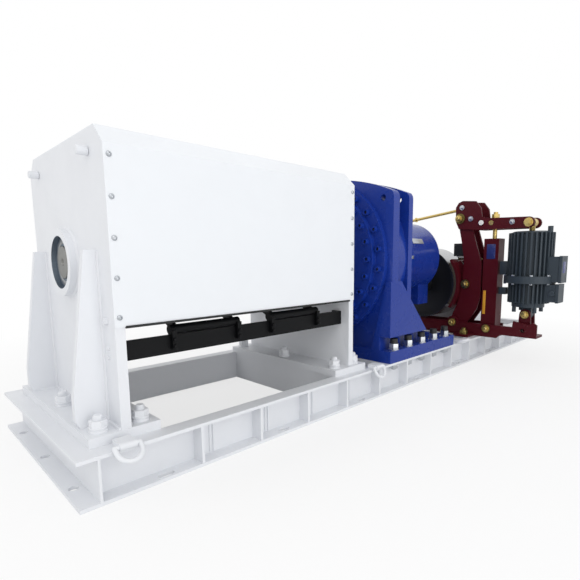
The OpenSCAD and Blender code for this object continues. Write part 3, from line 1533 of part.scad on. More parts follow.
// A ring: a straight bar in the pad eye, two legs and a half round, swung out by an angle
leg_l = 12;
ring_tilt = [50, 25, 110];
module lift_ring(i) {
    half = ring_w / 2 + ring_bar_r;
    color(white_paint) translate([ring_x[i], ring_axis_y, ring_axis_z]) rotate([ring_tilt[i], 0, 0]) {
        x_rod(-half, 0, 0, ring_bar_r, half * 2);
        for (s = [-1, 1]) {
            translate([s * half, 0, -leg_l]) cylinder(r = ring_bar_r, h = leg_l);
            translate([s * half, 0, 0]) sphere(r = ring_bar_r);
        }
        up(-leg_l) rotate([-90, 0, 0]) rotate_extrude(angle = 180)
            translate([half, 0]) circle(ring_bar_r);
    }
}

module lift_ring_1() {
    mirror([0, 1, 0]) lift_ring(0);
}

module lift_ring_2() {
    mirror([0, 1, 0]) lift_ring(1);
}

module lift_ring_3() {
    mirror([0, 1, 0]) lift_ring(2);
}

module lift_ring_4() {
    lift_ring(0);
}

module lift_ring_5() {
    lift_ring(1);
}

module lift_ring_6() {
    lift_ring(2);
}

side_rails();
end_channels();
cross_members();
left_stand();
right_stand();
stand_bolts();
lifting_studs();
guard_cover();
cover_edge_strip();
cover_screws();
rope_drum();
drum_shaft();
shaft_bearings();
drum_coupling();
press_bar();
press_brackets();
press_bolts();
press_arm_left();
press_arm_right();
press_roller_left();
press_roller_right();
gear_housing();
gear_front_flange();
gear_flange_bolts();
planet_case();
input_case();
gear_plugs();
gear_foot_bolts();
bolt_caps();
input_shaft();
brake_drum();
motor_coupling();
servo_motor();
motor_bracket();
motor_bolts();
brake_base();
brake_base_pins();
near_lever();
far_lever();
near_lever_pins();
far_lever_pins();
near_shoe();
far_shoe();
near_lining();
far_lining();
release_crank();
crank_bolts();
tie_rod();
spring_tube();
spring_rod();
thruster_body();
thruster_rod();
terminal_boxes();
limit_switch();
pad_eyes();
lift_ring_1();
lift_ring_2();
lift_ring_3();
lift_ring_4();
lift_ring_5();
lift_ring_6();
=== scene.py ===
"""Looks of a servo winch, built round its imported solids."""

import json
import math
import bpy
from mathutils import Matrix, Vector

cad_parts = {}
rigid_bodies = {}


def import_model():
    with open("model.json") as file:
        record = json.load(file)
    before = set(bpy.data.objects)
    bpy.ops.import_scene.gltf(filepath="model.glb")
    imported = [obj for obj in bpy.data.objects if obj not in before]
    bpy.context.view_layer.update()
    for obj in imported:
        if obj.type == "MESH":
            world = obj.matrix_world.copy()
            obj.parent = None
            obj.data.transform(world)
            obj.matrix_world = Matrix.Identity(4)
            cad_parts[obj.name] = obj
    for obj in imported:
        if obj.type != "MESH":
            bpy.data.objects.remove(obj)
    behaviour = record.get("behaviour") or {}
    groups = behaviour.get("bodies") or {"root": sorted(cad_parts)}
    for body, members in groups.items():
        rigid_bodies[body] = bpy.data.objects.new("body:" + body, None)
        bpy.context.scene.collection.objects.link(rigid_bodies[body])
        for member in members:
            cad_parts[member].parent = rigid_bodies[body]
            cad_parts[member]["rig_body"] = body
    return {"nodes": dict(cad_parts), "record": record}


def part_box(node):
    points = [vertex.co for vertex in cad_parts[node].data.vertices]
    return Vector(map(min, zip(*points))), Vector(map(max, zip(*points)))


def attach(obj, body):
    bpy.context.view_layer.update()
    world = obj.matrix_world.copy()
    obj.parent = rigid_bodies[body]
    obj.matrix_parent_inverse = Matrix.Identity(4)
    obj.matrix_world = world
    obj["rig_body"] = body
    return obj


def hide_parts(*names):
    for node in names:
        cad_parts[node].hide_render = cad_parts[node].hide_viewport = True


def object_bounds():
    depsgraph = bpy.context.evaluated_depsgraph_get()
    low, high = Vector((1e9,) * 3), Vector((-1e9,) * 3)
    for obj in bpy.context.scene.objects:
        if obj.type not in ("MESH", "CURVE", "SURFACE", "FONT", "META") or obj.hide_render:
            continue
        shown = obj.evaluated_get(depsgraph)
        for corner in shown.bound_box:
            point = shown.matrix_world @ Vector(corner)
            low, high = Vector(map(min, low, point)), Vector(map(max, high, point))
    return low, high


bl_info = {
    "name": "Servo winch",
    "version": (1, 0, 0),
    "blender": (4, 5, 0),
    "location": "View3D > Sidebar > Winch",
    "description": "Finishes and small details of a servo winch on a channel frame",
    "category": "Object",
}

import bmesh
import bpy
from bpy.props import FloatProperty, PointerProperty, StringProperty
from mathutils import Matrix, Vector

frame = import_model()
cad_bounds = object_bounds()

MM = 0.001
UP = Vector((0, 0, 1))
NEAR_END = Vector((-1, 0, 0))
NEAR_SIDE = Vector((0, -1, 0))

# The picture's width and height, and a sensor width to go with its focal length
IMAGE_PX = 580
SENSOR_MM = 36.0

# Sizes of the solids that the details stand on
CHANNEL_FLANGE_T = 9 * MM
STAND_BASE_T = 24 * MM
GEAR_FOOT_H = 50 * MM
FRAME_THREAD_R = 12 * MM

# Radius of a washer and of a nut's corners for a thread radius of 1
WASHER_SHARE = 1.83
NUT_SHARE = 1.73


def linear(hex_text):
    """Turn an sRGB hex colour into linear RGBA."""
    values = [int(hex_text[i : i + 2], 16) / 255 for i in (1, 3, 5)]
    return [v / 12.92 if v <= 0.04045 else ((v + 0.055) / 1.055) ** 2.4 for v in values] + [1.0]


def add(tree, kind, inputs=None, **settings):
    """Add one shader node with its settings, and set or link its inputs."""
    made = tree.nodes.new(kind)
    for name, value in settings.items():
        setattr(made, name, value)
    for name, value in (inputs or {}).items():
        if isinstance(value, bpy.types.NodeSocket):
            tree.links.new(value, made.inputs[name])
        else:
            made.inputs[name].default_value = value
    return made


def new_material(name):
    """Return an empty material's node tree and its material."""
    material = bpy.data.materials.new(name)
    material.use_nodes = True
    material.node_tree.nodes.clear()
    return material, material.node_tree


class WinchSizes(bpy.types.PropertyGroup):
    """Sizes of the details that a user would change."""

    edge_round: FloatProperty(
        name="Edge round",
        description="Rounding on the edges of castings",
        default=2.5 * MM,
        unit="LENGTH",
    )
    plate_edge: FloatProperty(
        name="Plate edge",
        description="Rounding on the edges of flame-cut plates",
        default=1.2 * MM,
        unit="LENGTH",
    )
    bolt_edge: FloatProperty(
        name="Bolt edge",
        description="Chamfer on pins and screws",
        default=0.8 * MM,
        unit="LENGTH",
    )
    shaft_chamfer: FloatProperty(
        name="Shaft chamfer",
        description="Chamfer on the drum shaft's ends and the lifting studs",
        default=3 * MM,
        unit="LENGTH",
    )
    weld_size: FloatProperty(
        name="Weld size",
        description="Width of a fillet weld",
        default=7 * MM,
        unit="LENGTH",
    )


class WinchColours(bpy.types.PropertyGroup):
    """Colours of the finishes."""

    frame_paint: StringProperty(name="Frame paint", description="White alkyd paint", default="#e4e6ea")
    cover_paint: StringProperty(name="Cover paint", description="White powder coat", default="#e7eaee")
    gear_paint: StringProperty(name="Gear paint", description="Blue machine enamel", default="#17358f")
    brake_paint: StringProperty(name="Brake paint", description="Dark red enamel", default="#4d1019")
    thruster_paint: StringProperty(name="Thruster paint", description="Dark grey enamel", default="#363f47")
    black_paint: StringProperty(name="Black paint", description="Black satin paint", default="#0d0e10")
    plate_paint: StringProperty(name="Blank plate", description="Anodised blank plate", default="#c3c7cc")
    strip_paint: StringProperty(name="Strip", description="Orange-yellow strip", default="#d99a2b")
    floor: StringProperty(name="Floor", description="Pale studio floor", default="#f4f4f4")


def enamel(name, hex_text, roughness, peel_mm=2.5, peel=0.12, dust=0.12, coat=0.25, shine=0.32):
    """Sprayed machine enamel: a slightly uneven gloss, with faint dust that lightens its colour."""
    material, tree = new_material(name)
    place = add(tree, "ShaderNodeTexCoord").outputs["Object"]
    base = linear(hex_text)
    dust_grey, cloud_size = 0.42, 90 * MM
    dusty = [c * (1 - dust) + dust_grey * dust for c in base[:3]] + [1.0]
    cloud = add(
        tree,
        "ShaderNodeTexNoise",
        {"Vector": place, "Scale": 1 / cloud_size, "Detail": 4.0, "Roughness": 0.6},
    )
    blend = add(
        tree,
        "ShaderNodeMapRange",
        {"Value": cloud.outputs["Fac"], "From Min": 0.42, "From Max": 0.78, "To Min": 0.0, "To Max": 0.8},
    )
    tint = add(
        tree, "ShaderNodeMix", {"Factor": blend.outputs["Result"], 6: base, 7: dusty}, data_type="RGBA"
    )
    gloss = add(
        tree,
        "ShaderNodeMapRange",
        {
            "Value": cloud.outputs["Fac"],
            "From Min": 0.3,
            "From Max": 0.7,
            "To Min": max(roughness - 0.06, 0.05),
            "To Max": roughness + 0.1,
        },
    )
    # Orange peel is about 1 mm on the real paint and is drawn coarser so that it shows.
    skin = add(tree, "ShaderNodeTexNoise", {"Vector": place, "Scale": 1 / (peel_mm * MM), "Detail": 1.0})
    relief = add(
        tree, "ShaderNodeBump", {"Height": skin.outputs["Fac"], "Strength": peel, "Distance": 0.4 * MM}
    )
    shader = add(
        tree,
        "ShaderNodeBsdfPrincipled",
        {
            "Base Color": tint.outputs[2],
            "Roughness": gloss.outputs["Result"],
            "Normal": relief.outputs["Normal"],
            "Specular IOR Level": shine,
            "Coat Weight": coat,
            "Coat Roughness": 0.12,
        },
    )
    add(tree, "ShaderNodeOutputMaterial", {"Surface": shader.outputs["BSDF"]})
    return material


def plated(name, hex_text, other_hex, roughness, grain_mm=0.8):
    """Zinc-plated steel: a satin metal whose passivation film shifts between two tints."""
    material, tree = new_material(name)
    place = add(tree, "ShaderNodeTexCoord").outputs["Object"]
    film_size = 16 * MM
    film = add(tree, "ShaderNodeTexNoise", {"Vector": place, "Scale": 1 / film_size, "Detail": 3.0})
    tint = add(
        tree,
        "ShaderNodeMix",
        {"Factor": film.outputs["Fac"], 6: linear(hex_text), 7: linear(other_hex)},
        data_type="RGBA",
    )
    gloss = add(
        tree,
        "ShaderNodeMapRange",
        {"Value": film.outputs["Fac"], "To Min": roughness - 0.08, "To Max": roughness + 0.12},
    )
    # The plating's grain is finer than 0.1 mm and is drawn coarser so that it shows.
    grain = add(tree, "ShaderNodeTexNoise", {"Vector": place, "Scale": 1 / (grain_mm * MM), "Detail": 2.0})
    relief = add(
        tree, "ShaderNodeBump", {"Height": grain.outputs["Fac"], "Strength": 0.15, "Distance": 0.2 * MM}
    )
    shader = add(
        tree,
        "ShaderNodeBsdfPrincipled",
        {
            "Base Color": tint.outputs[2],
            "Metallic": 1.0,
            "Roughness": gloss.outputs["Result"],
            "Normal": relief.outputs["Normal"],
        },
    )
    add(tree, "ShaderNodeOutputMaterial", {"Surface": shader.outputs["BSDF"]})
    return material


def moulded(name, hex_text, roughness, grain_mm=1.0):
    """Moulded rubber or plastic: matt, with a fine even grain."""
    material, tree = new_material(name)
    place = add(tree, "ShaderNodeTexCoord").outputs["Object"]
    grain = add(tree, "ShaderNodeTexNoise", {"Vector": place, "Scale": 1 / (grain_mm * MM), "Detail": 2.0})
    cloud_size = 30 * MM
    cloud = add(tree, "ShaderNodeTexNoise", {"Vector": place, "Scale": 1 / cloud_size, "Detail": 2.0})
    base = linear(hex_text)
    tint = add(
        tree,
        "ShaderNodeMix",
        {"Factor": cloud.outputs["Fac"], 6: base, 7: [c * 1.35 + 0.004 for c in base[:3]] + [1.0]},
        data_type="RGBA",
    )
    relief = add(
        tree, "ShaderNodeBump", {"Height": grain.outputs["Fac"], "Strength": 0.2, "Distance": 0.2 * MM}
    )
    shader = add(
        tree,
        "ShaderNodeBsdfPrincipled",
        {"Base Color": tint.outputs[2], "Roughness": roughness, "Normal": relief.outputs["Normal"]},
    )
    add(tree, "ShaderNodeOutputMaterial", {"Surface": shader.outputs["BSDF"]})
    return material


def turned_steel(name, hex_text, roughness, ring_mm=1.2):
    """Turned steel: fine tool rings along the winch's axis."""
    material, tree = new_material(name)
    place = add(tree, "ShaderNodeTexCoord").outputs["Object"]
    # Tool rings are under 1 mm apart. They are drawn tau times ring_mm apart so that they show.
    rings = add(
        tree,
        "ShaderNodeTexWave",
        {"Vector": place, "Scale": 1 / (ring_mm * MM) / 20, "Distortion": 0.6, "Detail": 2.0},
        bands_direction="X",
    )
    relief = add(
        tree, "ShaderNodeBump", {"Height": rings.outputs["Fac"], "Strength": 0.2, "Distance": 0.1 * MM}
    )
    stain_size = 25 * MM
    stain = add(tree, "ShaderNodeTexNoise", {"Vector": place, "Scale": 1 / stain_size, "Detail": 4.0})
    base = linear(hex_text)
    tint = add(
        tree,
        "ShaderNodeMix",
        {"Factor": stain.outputs["Fac"], 6: base, 7: [c * 0.7 for c in base[:3]] + [1.0]},
        data_type="RGBA",
    )
    shader = add(
        tree,
        "ShaderNodeBsdfPrincipled",
        {
            "Base Color": tint.outputs[2],
            "Metallic": 1.0,
            "Roughness": roughness,
            "Normal": relief.outputs["Normal"],
        },
    )
    add(tree, "ShaderNodeOutputMaterial", {"Surface": shader.outputs["BSDF"]})
    return material


def brake_drum_iron(name, axis_z, polished_from):
    """Cast iron brake drum: a black painted web, and a bright track that the linings polish."""
    material, tree = new_material(name)
    place = add(tree, "ShaderNodeTexCoord").outputs["Object"]
    parts = add(tree, "ShaderNodeSeparateXYZ", {"Vector": place})
    up = add(tree, "ShaderNodeMath", {0: parts.outputs["Z"], 1: axis_z}, operation="SUBTRACT")
    flat = add(tree, "ShaderNodeCombineXYZ", {"Y": parts.outputs["Y"], "Z": up.outputs["Value"]})
    radius = add(tree, "ShaderNodeVectorMath", {0: flat.outputs["Vector"]}, operation="LENGTH")
    track = add(
        tree, "ShaderNodeMath", {0: radius.outputs["Value"], 1: polished_from}, operation="GREATER_THAN"
    )
    # The linings' score marks are under 1 mm apart and are drawn coarser so that they show.
    score = add(
        tree,
        "ShaderNodeTexWave",
        {"Vector": place, "Scale": 30.0, "Distortion": 2.0},
        bands_direction="X",
    )
    relief = add(
        tree, "ShaderNodeBump", {"Height": score.outputs["Fac"], "Strength": 0.15, "Distance": 0.2 * MM}
    )
    web_black, worn_iron = linear("#101113"), linear("#b4b5b7")
    tint = add(
        tree,
        "ShaderNodeMix",
        {"Factor": track.outputs["Value"], 6: web_black, 7: worn_iron},
        data_type="RGBA",
    )
    gloss = add(
        tree, "ShaderNodeMapRange", {"Value": track.outputs["Value"], "To Min": 0.42, "To Max": 0.26}
    )
    shader = add(
        tree,
        "ShaderNodeBsdfPrincipled",
        {
            "Base Color": tint.outputs[2],
            "Metallic": track.outputs["Value"],
            "Roughness": gloss.outputs["Result"],
            "Normal": relief.outputs["Normal"],
        },
    )
    add(tree, "ShaderNodeOutputMaterial", {"Surface": shader.outputs["BSDF"]})
    return material


def make_finishes(colours):
    """Make every finish once, by the name of the material slot it belongs to."""
    drum_high, drum_middle = spans("brake_drum")[1:]
    track_from = drum_high.z - drum_middle.z - 1 * MM
    made = paints(colours)
    made.update(metals())
    made.update(plastics_and_plates(colours))
    made["brake_iron"] = brake_drum_iron("brake_drum_iron", drum_middle.z, track_from)
    return made


def paints(colours):
    """Make the painted finishes."""
    return {
        # Alkyd enamel on welded steel: white, with a soft gloss that breaks up a little
        "white_paint": enamel("frame_enamel", colours.frame_paint, 0.42, dust=0.04, coat=0.1),
        # Baked powder coat on sheet: white, smoother and glossier than the frame
        "cover_paint": enamel(
            "cover_powder_coat", colours.cover_paint, 0.34, peel_mm=3.0, dust=0.04, coat=0.2
        ),
        # Machine enamel on castings: deep blue with clear highlights on the edges
        "blue_paint": enamel(
            "gear_enamel_blue", colours.gear_paint, 0.24, dust=0.005, coat=0.14, shine=0.26
        ),
        # Machine enamel on the brake's plates: a very dark red with a dull gloss
        "red_paint": enamel(
            "brake_enamel_red", colours.brake_paint, 0.38, dust=0.005, coat=0.02, shine=0.15
        ),
        # Enamel on cast aluminium: dark grey and nearly matt between the fins
        "thruster_paint": enamel(
            "thruster_enamel_grey", colours.thruster_paint, 0.42, dust=0.02, coat=0.04, shine=0.24
        ),
        # Satin paint on the press bar: black, with hardly a highlight
        "black_paint": enamel(
            "satin_black_paint", colours.black_paint, 0.45, dust=0.003, coat=0.02, shine=0.14
        ),
    }


def metals():
    """Make the plated and the bare steel finishes."""
    return {
        # Zinc plate with yellow passivation: warm gold that shifts towards brown
        "zinc_yellow": plated("yellow_passivated_zinc", "#dccb86", "#c39f57", 0.3),
        # The same under old oil: olive and duller
        "zinc_olive": plated("oiled_yellow_zinc", "#8c7f4c", "#6d6238", 0.4),
        # Zinc plate with clear passivation: pale silver with a faint blue
        "zinc_clear": plated("clear_passivated_zinc", "#cdcfd2", "#aab0b6", 0.3),
        # Turned steel: grey, with tool rings that catch the light
        "bare_steel": turned_steel("turned_steel", "#a8aaab", 0.28),
        # Bearing steel under oil: bluish and soft
        "oiled_steel": turned_steel("oiled_bearing_steel", "#8793a0", 0.5),
        # Shaft steel that has dulled in store: a warm grey
        "shaft_steel": turned_steel("dull_shaft_steel", "#8f8f8c", 0.36),
        # The rope drum's grooved steel under rope grease: dark, with coarse rings
        "rope_drum_steel": turned_steel("oiled_drum_steel", "#5f6164", 0.4, ring_mm=3.0),
    }


def plastics_and_plates(colours):
    """Make the linings, the rubber and plastic parts, the blank plates and the strip."""
    return {
        # Moulded friction lining: brown-grey, matt and grainy
        "lining": moulded("brake_lining_compound", "#3a322b", 0.85, grain_mm=1.6),
        # Extruded edge rubber: black and matt
        "black_rubber": moulded("edge_rubber", "#131415", 0.7),
        # Moulded nylon: black with a low sheen
        "black_plastic": moulded("black_nylon", "#151617", 0.45),
        # Moulded nylon: off-white with a low sheen
        "white_plastic": moulded("white_nylon", "#dcdcd8", 0.4),
        # Anodised aluminium plate: pale and silky, with a fine grain
        "bare_plate": plated("anodised_blank_plate", colours.plate_paint, "#b5bac0", 0.34, grain_mm=0.5),
        # Enamelled plate: blue and glossy
        "blue_plate": enamel("blank_plate_blue", "#2b356f", 0.3, dust=0.01, coat=0.2),
        # Painted marker strip: orange-yellow
        "yellow_strip": enamel("marker_strip_yellow", colours.strip_paint, 0.4, dust=0.04, coat=0.2),
    }


# Solids whose metal is darker or brighter than the rest of their slot
OWN_FINISH = {
    "shaft_bearings": "oiled_steel",
    "drum_shaft": "shaft_steel",
    "crank_bolts": "zinc_clear",
    "brake_base_pins": "zinc_olive",
    "near_lever_pins": "zinc_olive",
}

# Filled by the finishes operator, which runs before every operator that makes a piece
finishes = {}


def spans(node):
    """Return a solid's lowest corner, highest corner and middle."""
    low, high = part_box(node)
    low, high = Vector(low), Vector(high)
    return low, high, (low + high) / 2


def loose_parts(node):
    """Return the lowest and highest corner of each loose part of a solid, in order."""
    merge_gap = 0.01 * MM
    shape = bmesh.new()
    shape.from_mesh(frame["nodes"][node].data)
    bmesh.ops.remove_doubles(shape, verts=shape.verts, dist=merge_gap)
    left = set(shape.verts)
    boxes = []
    while left:
        part = [left.pop()]
        for vert in part:
            for edge in vert.link_edges:
                other = edge.other_vert(vert)
                if other in left:
                    left.remove(other)
                    part.append(other)
        low = Vector([min(vert.co[axis] for vert in part) for axis in range(3)])
        high = Vector([max(vert.co[axis] for vert in part) for axis in range(3)])
        boxes.append((low, high))
    shape.free()
    return sorted(boxes, key=lambda box: [round(value, 4) for value in box[0]])


def dress_frame_nodes():
    """Give each solid the finish of its material slot, or its own."""
    slots = {part["node"]: part["material_slot"] for part in frame["record"]["subparts"]}
    for name, solid in frame["nodes"].items():
        finish = finishes[OWN_FINISH.get(name, slots[name])]
        if not solid.data.materials:
            solid.data.materials.append(finish)
        for index in range(len(solid.data.materials)):
            solid.data.materials[index] = finish


def rounded_copy(name, width, segments=2, limit_deg=32):
    """Stand a copy with rounded edges in a solid's place."""
    solid = frame["nodes"][name]
    mesh = solid.data.copy()
    merge_gap, flat_angle = 0.02 * MM, math.radians(0.6)
    shape = bmesh.new()
    shape.from_mesh(mesh)
    bmesh.ops.remove_doubles(shape, verts=shape.verts, dist=merge_gap)
    bmesh.ops.dissolve_limit(
        shape,
        angle_limit=flat_angle,
        verts=shape.verts,
        edges=shape.edges,
        use_dissolve_boundaries=False,
    )
    shape.to_mesh(mesh)
    shape.free()
    piece = bpy.data.objects.new("rounded_" + name, mesh)
    bpy.context.scene.collection.objects.link(piece)
    mesh.shade_smooth()
    mesh.set_sharp_from_angle(angle=math.radians(limit_deg))
    bevel = piece.modifiers.new("edges", "BEVEL")
    bevel.width = width
    bevel.segments = segments
    bevel.limit_method = "ANGLE"
    bevel.angle_limit = math.radians(limit_deg)
    bevel.harden_normals = True
    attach(piece, solid["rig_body"])
    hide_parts(name)


def stand(shape, name, finish, body, replaced=(), smooth_deg=35):
    """Turn a bmesh into a finished piece that rides on a body."""
    bmesh.ops.recalc_face_normals(shape, faces=shape.faces)
    mesh = bpy.data.meshes.new(name)
    shape.to_mesh(mesh)
    shape.free()
    mesh.shade_smooth()
    mesh.set_sharp_from_angle(angle=math.radians(smooth_deg))
    mesh.materials.append(finish)
    piece = bpy.data.objects.new(name, mesh)
    bpy.context.scene.collection.objects.link(piece)
    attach(piece, body)
    if replaced:
        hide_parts(*replaced)


def turn_to(direction):
    """Turn a shape's own +Z to a direction."""
    return Vector(direction).normalized().to_track_quat("Z", "Y").to_matrix().to_4x4()


def join(shape, part, place=(0, 0, 0), direction=None):
    """Set a part, made round its own +Z, in its place and add it to a shape."""
    bmesh.ops.recalc_face_normals(part, faces=part.faces)
    turn = turn_to(direction) if direction else Matrix.Identity(4)
    bmesh.ops.transform(part, matrix=Matrix.Translation(place) @ turn, verts=part.verts)
    mesh = bpy.data.meshes.new("part")
    part.to_mesh(mesh)
    part.free()
    shape.from_mesh(mesh)
    bpy.data.meshes.remove(mesh)


def turned(shape, profile, place, direction, steps=24):
    """Spin a profile of (radius, height) points into a turned part."""
    merge_gap = 0.001 * MM
    part = bmesh.new()
    points = [part.verts.new((radius, 0, height)) for radius, height in profile]
    edges = [part.edges.new(pair) for pair in zip(points, points[1:])]
    bmesh.ops.spin(
        part,
        geom=points + edges,
        cent=(0, 0, 0),
        axis=UP,
        angle=math.tau,
        steps=steps,
        use_merge=True,
    )
    bmesh.ops.remove_doubles(part, verts=part.verts, dist=merge_gap)
    join(shape, part, place, direction)


def block(shape, size, place, edge, direction=None, segments=2):
    """Add a block with rounded edges, its middle at a place."""
    part = bmesh.new()
    bmesh.ops.create_cube(part, size=1.0)
    bmesh.ops.scale(part, verts=part.verts, vec=size)
    bmesh.ops.bevel(
        part, geom=part.edges, offset=edge, segments=segments, profile=0.5, affect="EDGES", material=-1
    )
    join(shape, part, place, direction)


def hexagon(shape, radius, height, place, direction):
    """Add a hexagon nut or head, chamfered at the top."""
    part = bmesh.new()
    bmesh.ops.create_cone(part, cap_ends=True, segments=6, radius1=radius, radius2=radius, depth=height)
    bmesh.ops.translate(part, verts=part.verts, vec=(0, 0, height / 2))
    rim = [edge for edge in part.edges if all(vert.co.z > height * 0.9 for vert in edge.verts)]
    bmesh.ops.bevel(
        part, geom=rim, offset=height * 0.09, segments=2, profile=0.5, affect="EDGES", material=-1
    )
    join(shape, part, place, direction)


def washer(shape, radius, height, place, direction):
    """Add a flat washer with broken edges."""
    edge = min(height, radius) * 0.2
    profile = [(0, 0), (radius, 0), (radius, height - edge), (radius - edge, height), (0, height)]
    turned(shape, profile, place, direction)


def thread(shape, radius, length, pitch, place, direction, steps=16):
    """Add a threaded end with a chamfered tip."""
    depth = pitch * 0.5
    profile = [(0, 0)]
    for ring in range(max(1, int(length / pitch))):
        profile += [(radius, ring * pitch), (radius - depth, (ring + 0.5) * pitch)]
    profile += [(radius - depth, length - depth), (radius - depth * 2, length), (0, length)]
    turned(shape, profile, place, direction, steps)


def socket_head(shape, radius, height, place, direction):
    """Add a round screw head with a socket in its top."""
    edge = radius * 0.12
    hole = radius * 0.52
    profile = [(0, 0), (radius, 0), (radius, height - edge), (radius - edge, height)]
    profile += [(hole * 1.08, height), (hole, height - edge / 2), (hole, height * 0.4)]
    profile += [(0, height * 0.36)]
    turned(shape, profile, place, direction, steps=18)


def nut_stack(shape, place, direction, thread_r, stud, washer_share=0.3, nut_share=1.3):
    """Add a washer, a nut and a threaded stud end, standing on a face."""
    way = Vector(direction).normalized()
    place = Vector(place)
    washer_t = thread_r * washer_share
    nut_h = thread_r * nut_share
    washer(shape, thread_r * WASHER_SHARE, washer_t, place, way)
    hexagon(shape, thread_r * NUT_SHARE, nut_h, place + way * washer_t, way)
    if stud > 0:
        thread(shape, thread_r, stud + nut_h / 2, thread_r / 4, place + way * (washer_t + nut_h / 2), way)


def weld_bead(shape, start, end, width, normal_a, normal_b):
    """Lay a rippled fillet weld between two faces that meet at a corner."""
    start, end = Vector(start), Vector(end)
    corner_a, corner_b = Vector(normal_a), Vector(normal_b)
    ripple, swell = 6 * MM, 1.14
    steps = max(2, int((end - start).length / ripple))
    lean = [step / 4 * math.pi / 2 for step in range(5)]
    ring = [(corner_a * math.cos(turn) + corner_b * math.sin(turn)) * width * 0.75 for turn in lean]
    ring.append(-(corner_a + corner_b) * width * 0.1)
    part = bmesh.new()
    first = [part.verts.new(start + offset) for offset in ring]
    face = part.faces.new(first)
    loop = list(face.edges)
    for step in range(steps):
        grown = bmesh.ops.extrude_edge_only(part, edges=loop)["geom"]
        verts = [item for item in grown if isinstance(item, bmesh.types.BMVert)]
        loop = [item for item in grown if isinstance(item, bmesh.types.BMEdge) and item.is_boundary]
        bmesh.ops.translate(part, verts=verts, vec=(end - start) / steps)
        centre = start + (end - start) * (step + 1) / steps
        size = swell if step % 2 == 0 else 1 / swell
        bmesh.ops.scale(part, verts=verts, vec=(size, size, size), space=Matrix.Translation(-centre))
    bmesh.ops.contextual_create(part, geom=loop)
    join(shape, part)


def blank_plate(shape, width, height, thick, place, direction, rivets=True):
    """Add a blank plate with rounded corners, and a rivet near each corner."""
    part = bmesh.new()
    bmesh.ops.create_cube(part, size=1.0)
    bmesh.ops.scale(part, verts=part.verts, vec=(width, height, thick))
    upright = [edge for edge in part.edges if abs(edge.verts[0].co.z - edge.verts[1].co.z) > thick / 2]
    corner_r = min(width, height) * 0.08
    bmesh.ops.bevel(
        part, geom=upright, offset=corner_r, segments=4, profile=0.5, affect="EDGES", material=-1
    )
    rim = [edge for edge in part.edges if all(vert.co.z > thick * 0.4 for vert in edge.verts)]
    bmesh.ops.bevel(
        part, geom=rim, offset=thick * 0.3, segments=2, profile=0.5, affect="EDGES", material=-1
    )
    join(shape, part, place, direction)
    if not rivets:
        return
    turn = Matrix.Translation(place) @ turn_to(direction)
    head = min(width, height) * 0.05
    profile = [(head, 0), (head * 0.8, head * 0.5), (0, head * 0.7)]
    reach_x, reach_y = width / 2 - head * 2.4, height / 2 - head * 2.4
    for side_x in (-1, 1):
        for side_y in (-1, 1):
            spot = turn @ Vector((side_x * reach_x, side_y * reach_y, thick / 2))
            turned(shape, profile, spot, direction, steps=12)


class WINCH_OT_finishes(bpy.types.Operator):
    """Make the finishes and put them on the frame's solids."""

    bl_idname = "winch.finishes"
    bl_label = "Finishes"

    def execute(self, context):
        finishes.update(make_finishes(context.scene.winch_colours))
        dress_frame_nodes()
        return {"FINISHED"}


class WINCH_OT_stage(bpy.types.Operator):
    """Set the floor, the lamps, the sky and the camera."""

    bl_idname = "winch.stage"
    bl_label = "Stage"

    def execute(self, context):
        make_floor(context.scene.winch_colours)
        make_light(context.scene)
        make_camera(context.scene)
        return {"FINISHED"}


class WINCH_OT_rounded(bpy.types.Operator):
    """Round the edges of the castings, plates and turned parts."""

    bl_idname = "winch.rounded"
    bl_label = "Rounded edges"

    def execute(self, context):
        sizes = context.scene.winch_sizes
        castings = (
            "gear_housing", "gear_front_flange", "planet_case", "input_case", "thruster_body",
            "terminal_boxes", "servo_motor", "limit_switch",
        )
        plates = (
            "left_stand", "right_stand", "near_lever", "far_lever", "near_shoe", "far_shoe",
            "release_crank", "brake_base", "motor_bracket", "side_rails", "end_channels",
            "cross_members", "guard_cover", "press_bar", "press_brackets", "press_arm_left",
            "press_arm_right", "pad_eyes", "drum_coupling", "motor_coupling",
        )
        turned_parts = (
            "brake_base_pins", "near_lever_pins", "far_lever_pins", "crank_bolts", "tie_rod",
            "gear_flange_bolts", "press_bolts", "bolt_caps", "thruster_rod", "press_roller_left",
            "press_roller_right", "gear_plugs", "motor_bolts", "spring_rod",
        )
        for name in castings:
            rounded_copy(name, sizes.edge_round)
        for name in plates:
            rounded_copy(name, sizes.plate_edge)
        for name in turned_parts:
            rounded_copy(name, sizes.bolt_edge, 1)
        for name in ("drum_shaft", "lifting_studs"):
            rounded_copy(name, sizes.shaft_chamfer, 2)
        rounded_copy("spring_tube", sizes.edge_round * 2, 3)
        return {"FINISHED"}


class WINCH_OT_cover_screws(bpy.types.Operator):
    """Drive the cover's button screws."""

    bl_idname = "winch.cover_screws"
    bl_label = "Cover screws"

    def execute(self, context):
        cover_high = spans("guard_cover")[1]
        screws = bmesh.new()
        for low, high in loose_parts("cover_screws"):
            middle = (low + high) / 2
            if high.z > cover_high.z:
                place, way = Vector((middle.x, middle.y, cover_high.z)), UP
            else:
                side = math.copysign(1, middle.y)
                place, way = Vector((middle.x, side * cover_high.y, middle.z)), Vector((0, side, 0))
            self.screw(screws, place, way)
        zinc = finishes["zinc_clear"]
        stand(screws, "cover_button_screws", zinc, "frame", ("cover_screws",))
        return {"FINISHED"}

    def screw(self, shape, place, way):
        """Add a button head with a socket, and its shank through the sheet."""
        head, shank, depth, top = 6.6 * MM, 4 * MM, 15 * MM, 4.4 * MM
        socket = 3 * MM
        profile = [(0, -depth), (shank, -depth), (shank, 0), (head, 0), (head, top * 0.2)]
        profile += [(head * math.cos(lean), top * (0.2 + 0.8 * math.sin(lean))) for lean in (0.3, 0.7, 1.1)]
        profile += [(socket, top), (socket, top * 0.35), (0, top * 0.3)]
        turned(shape, profile, place, way, steps=18)


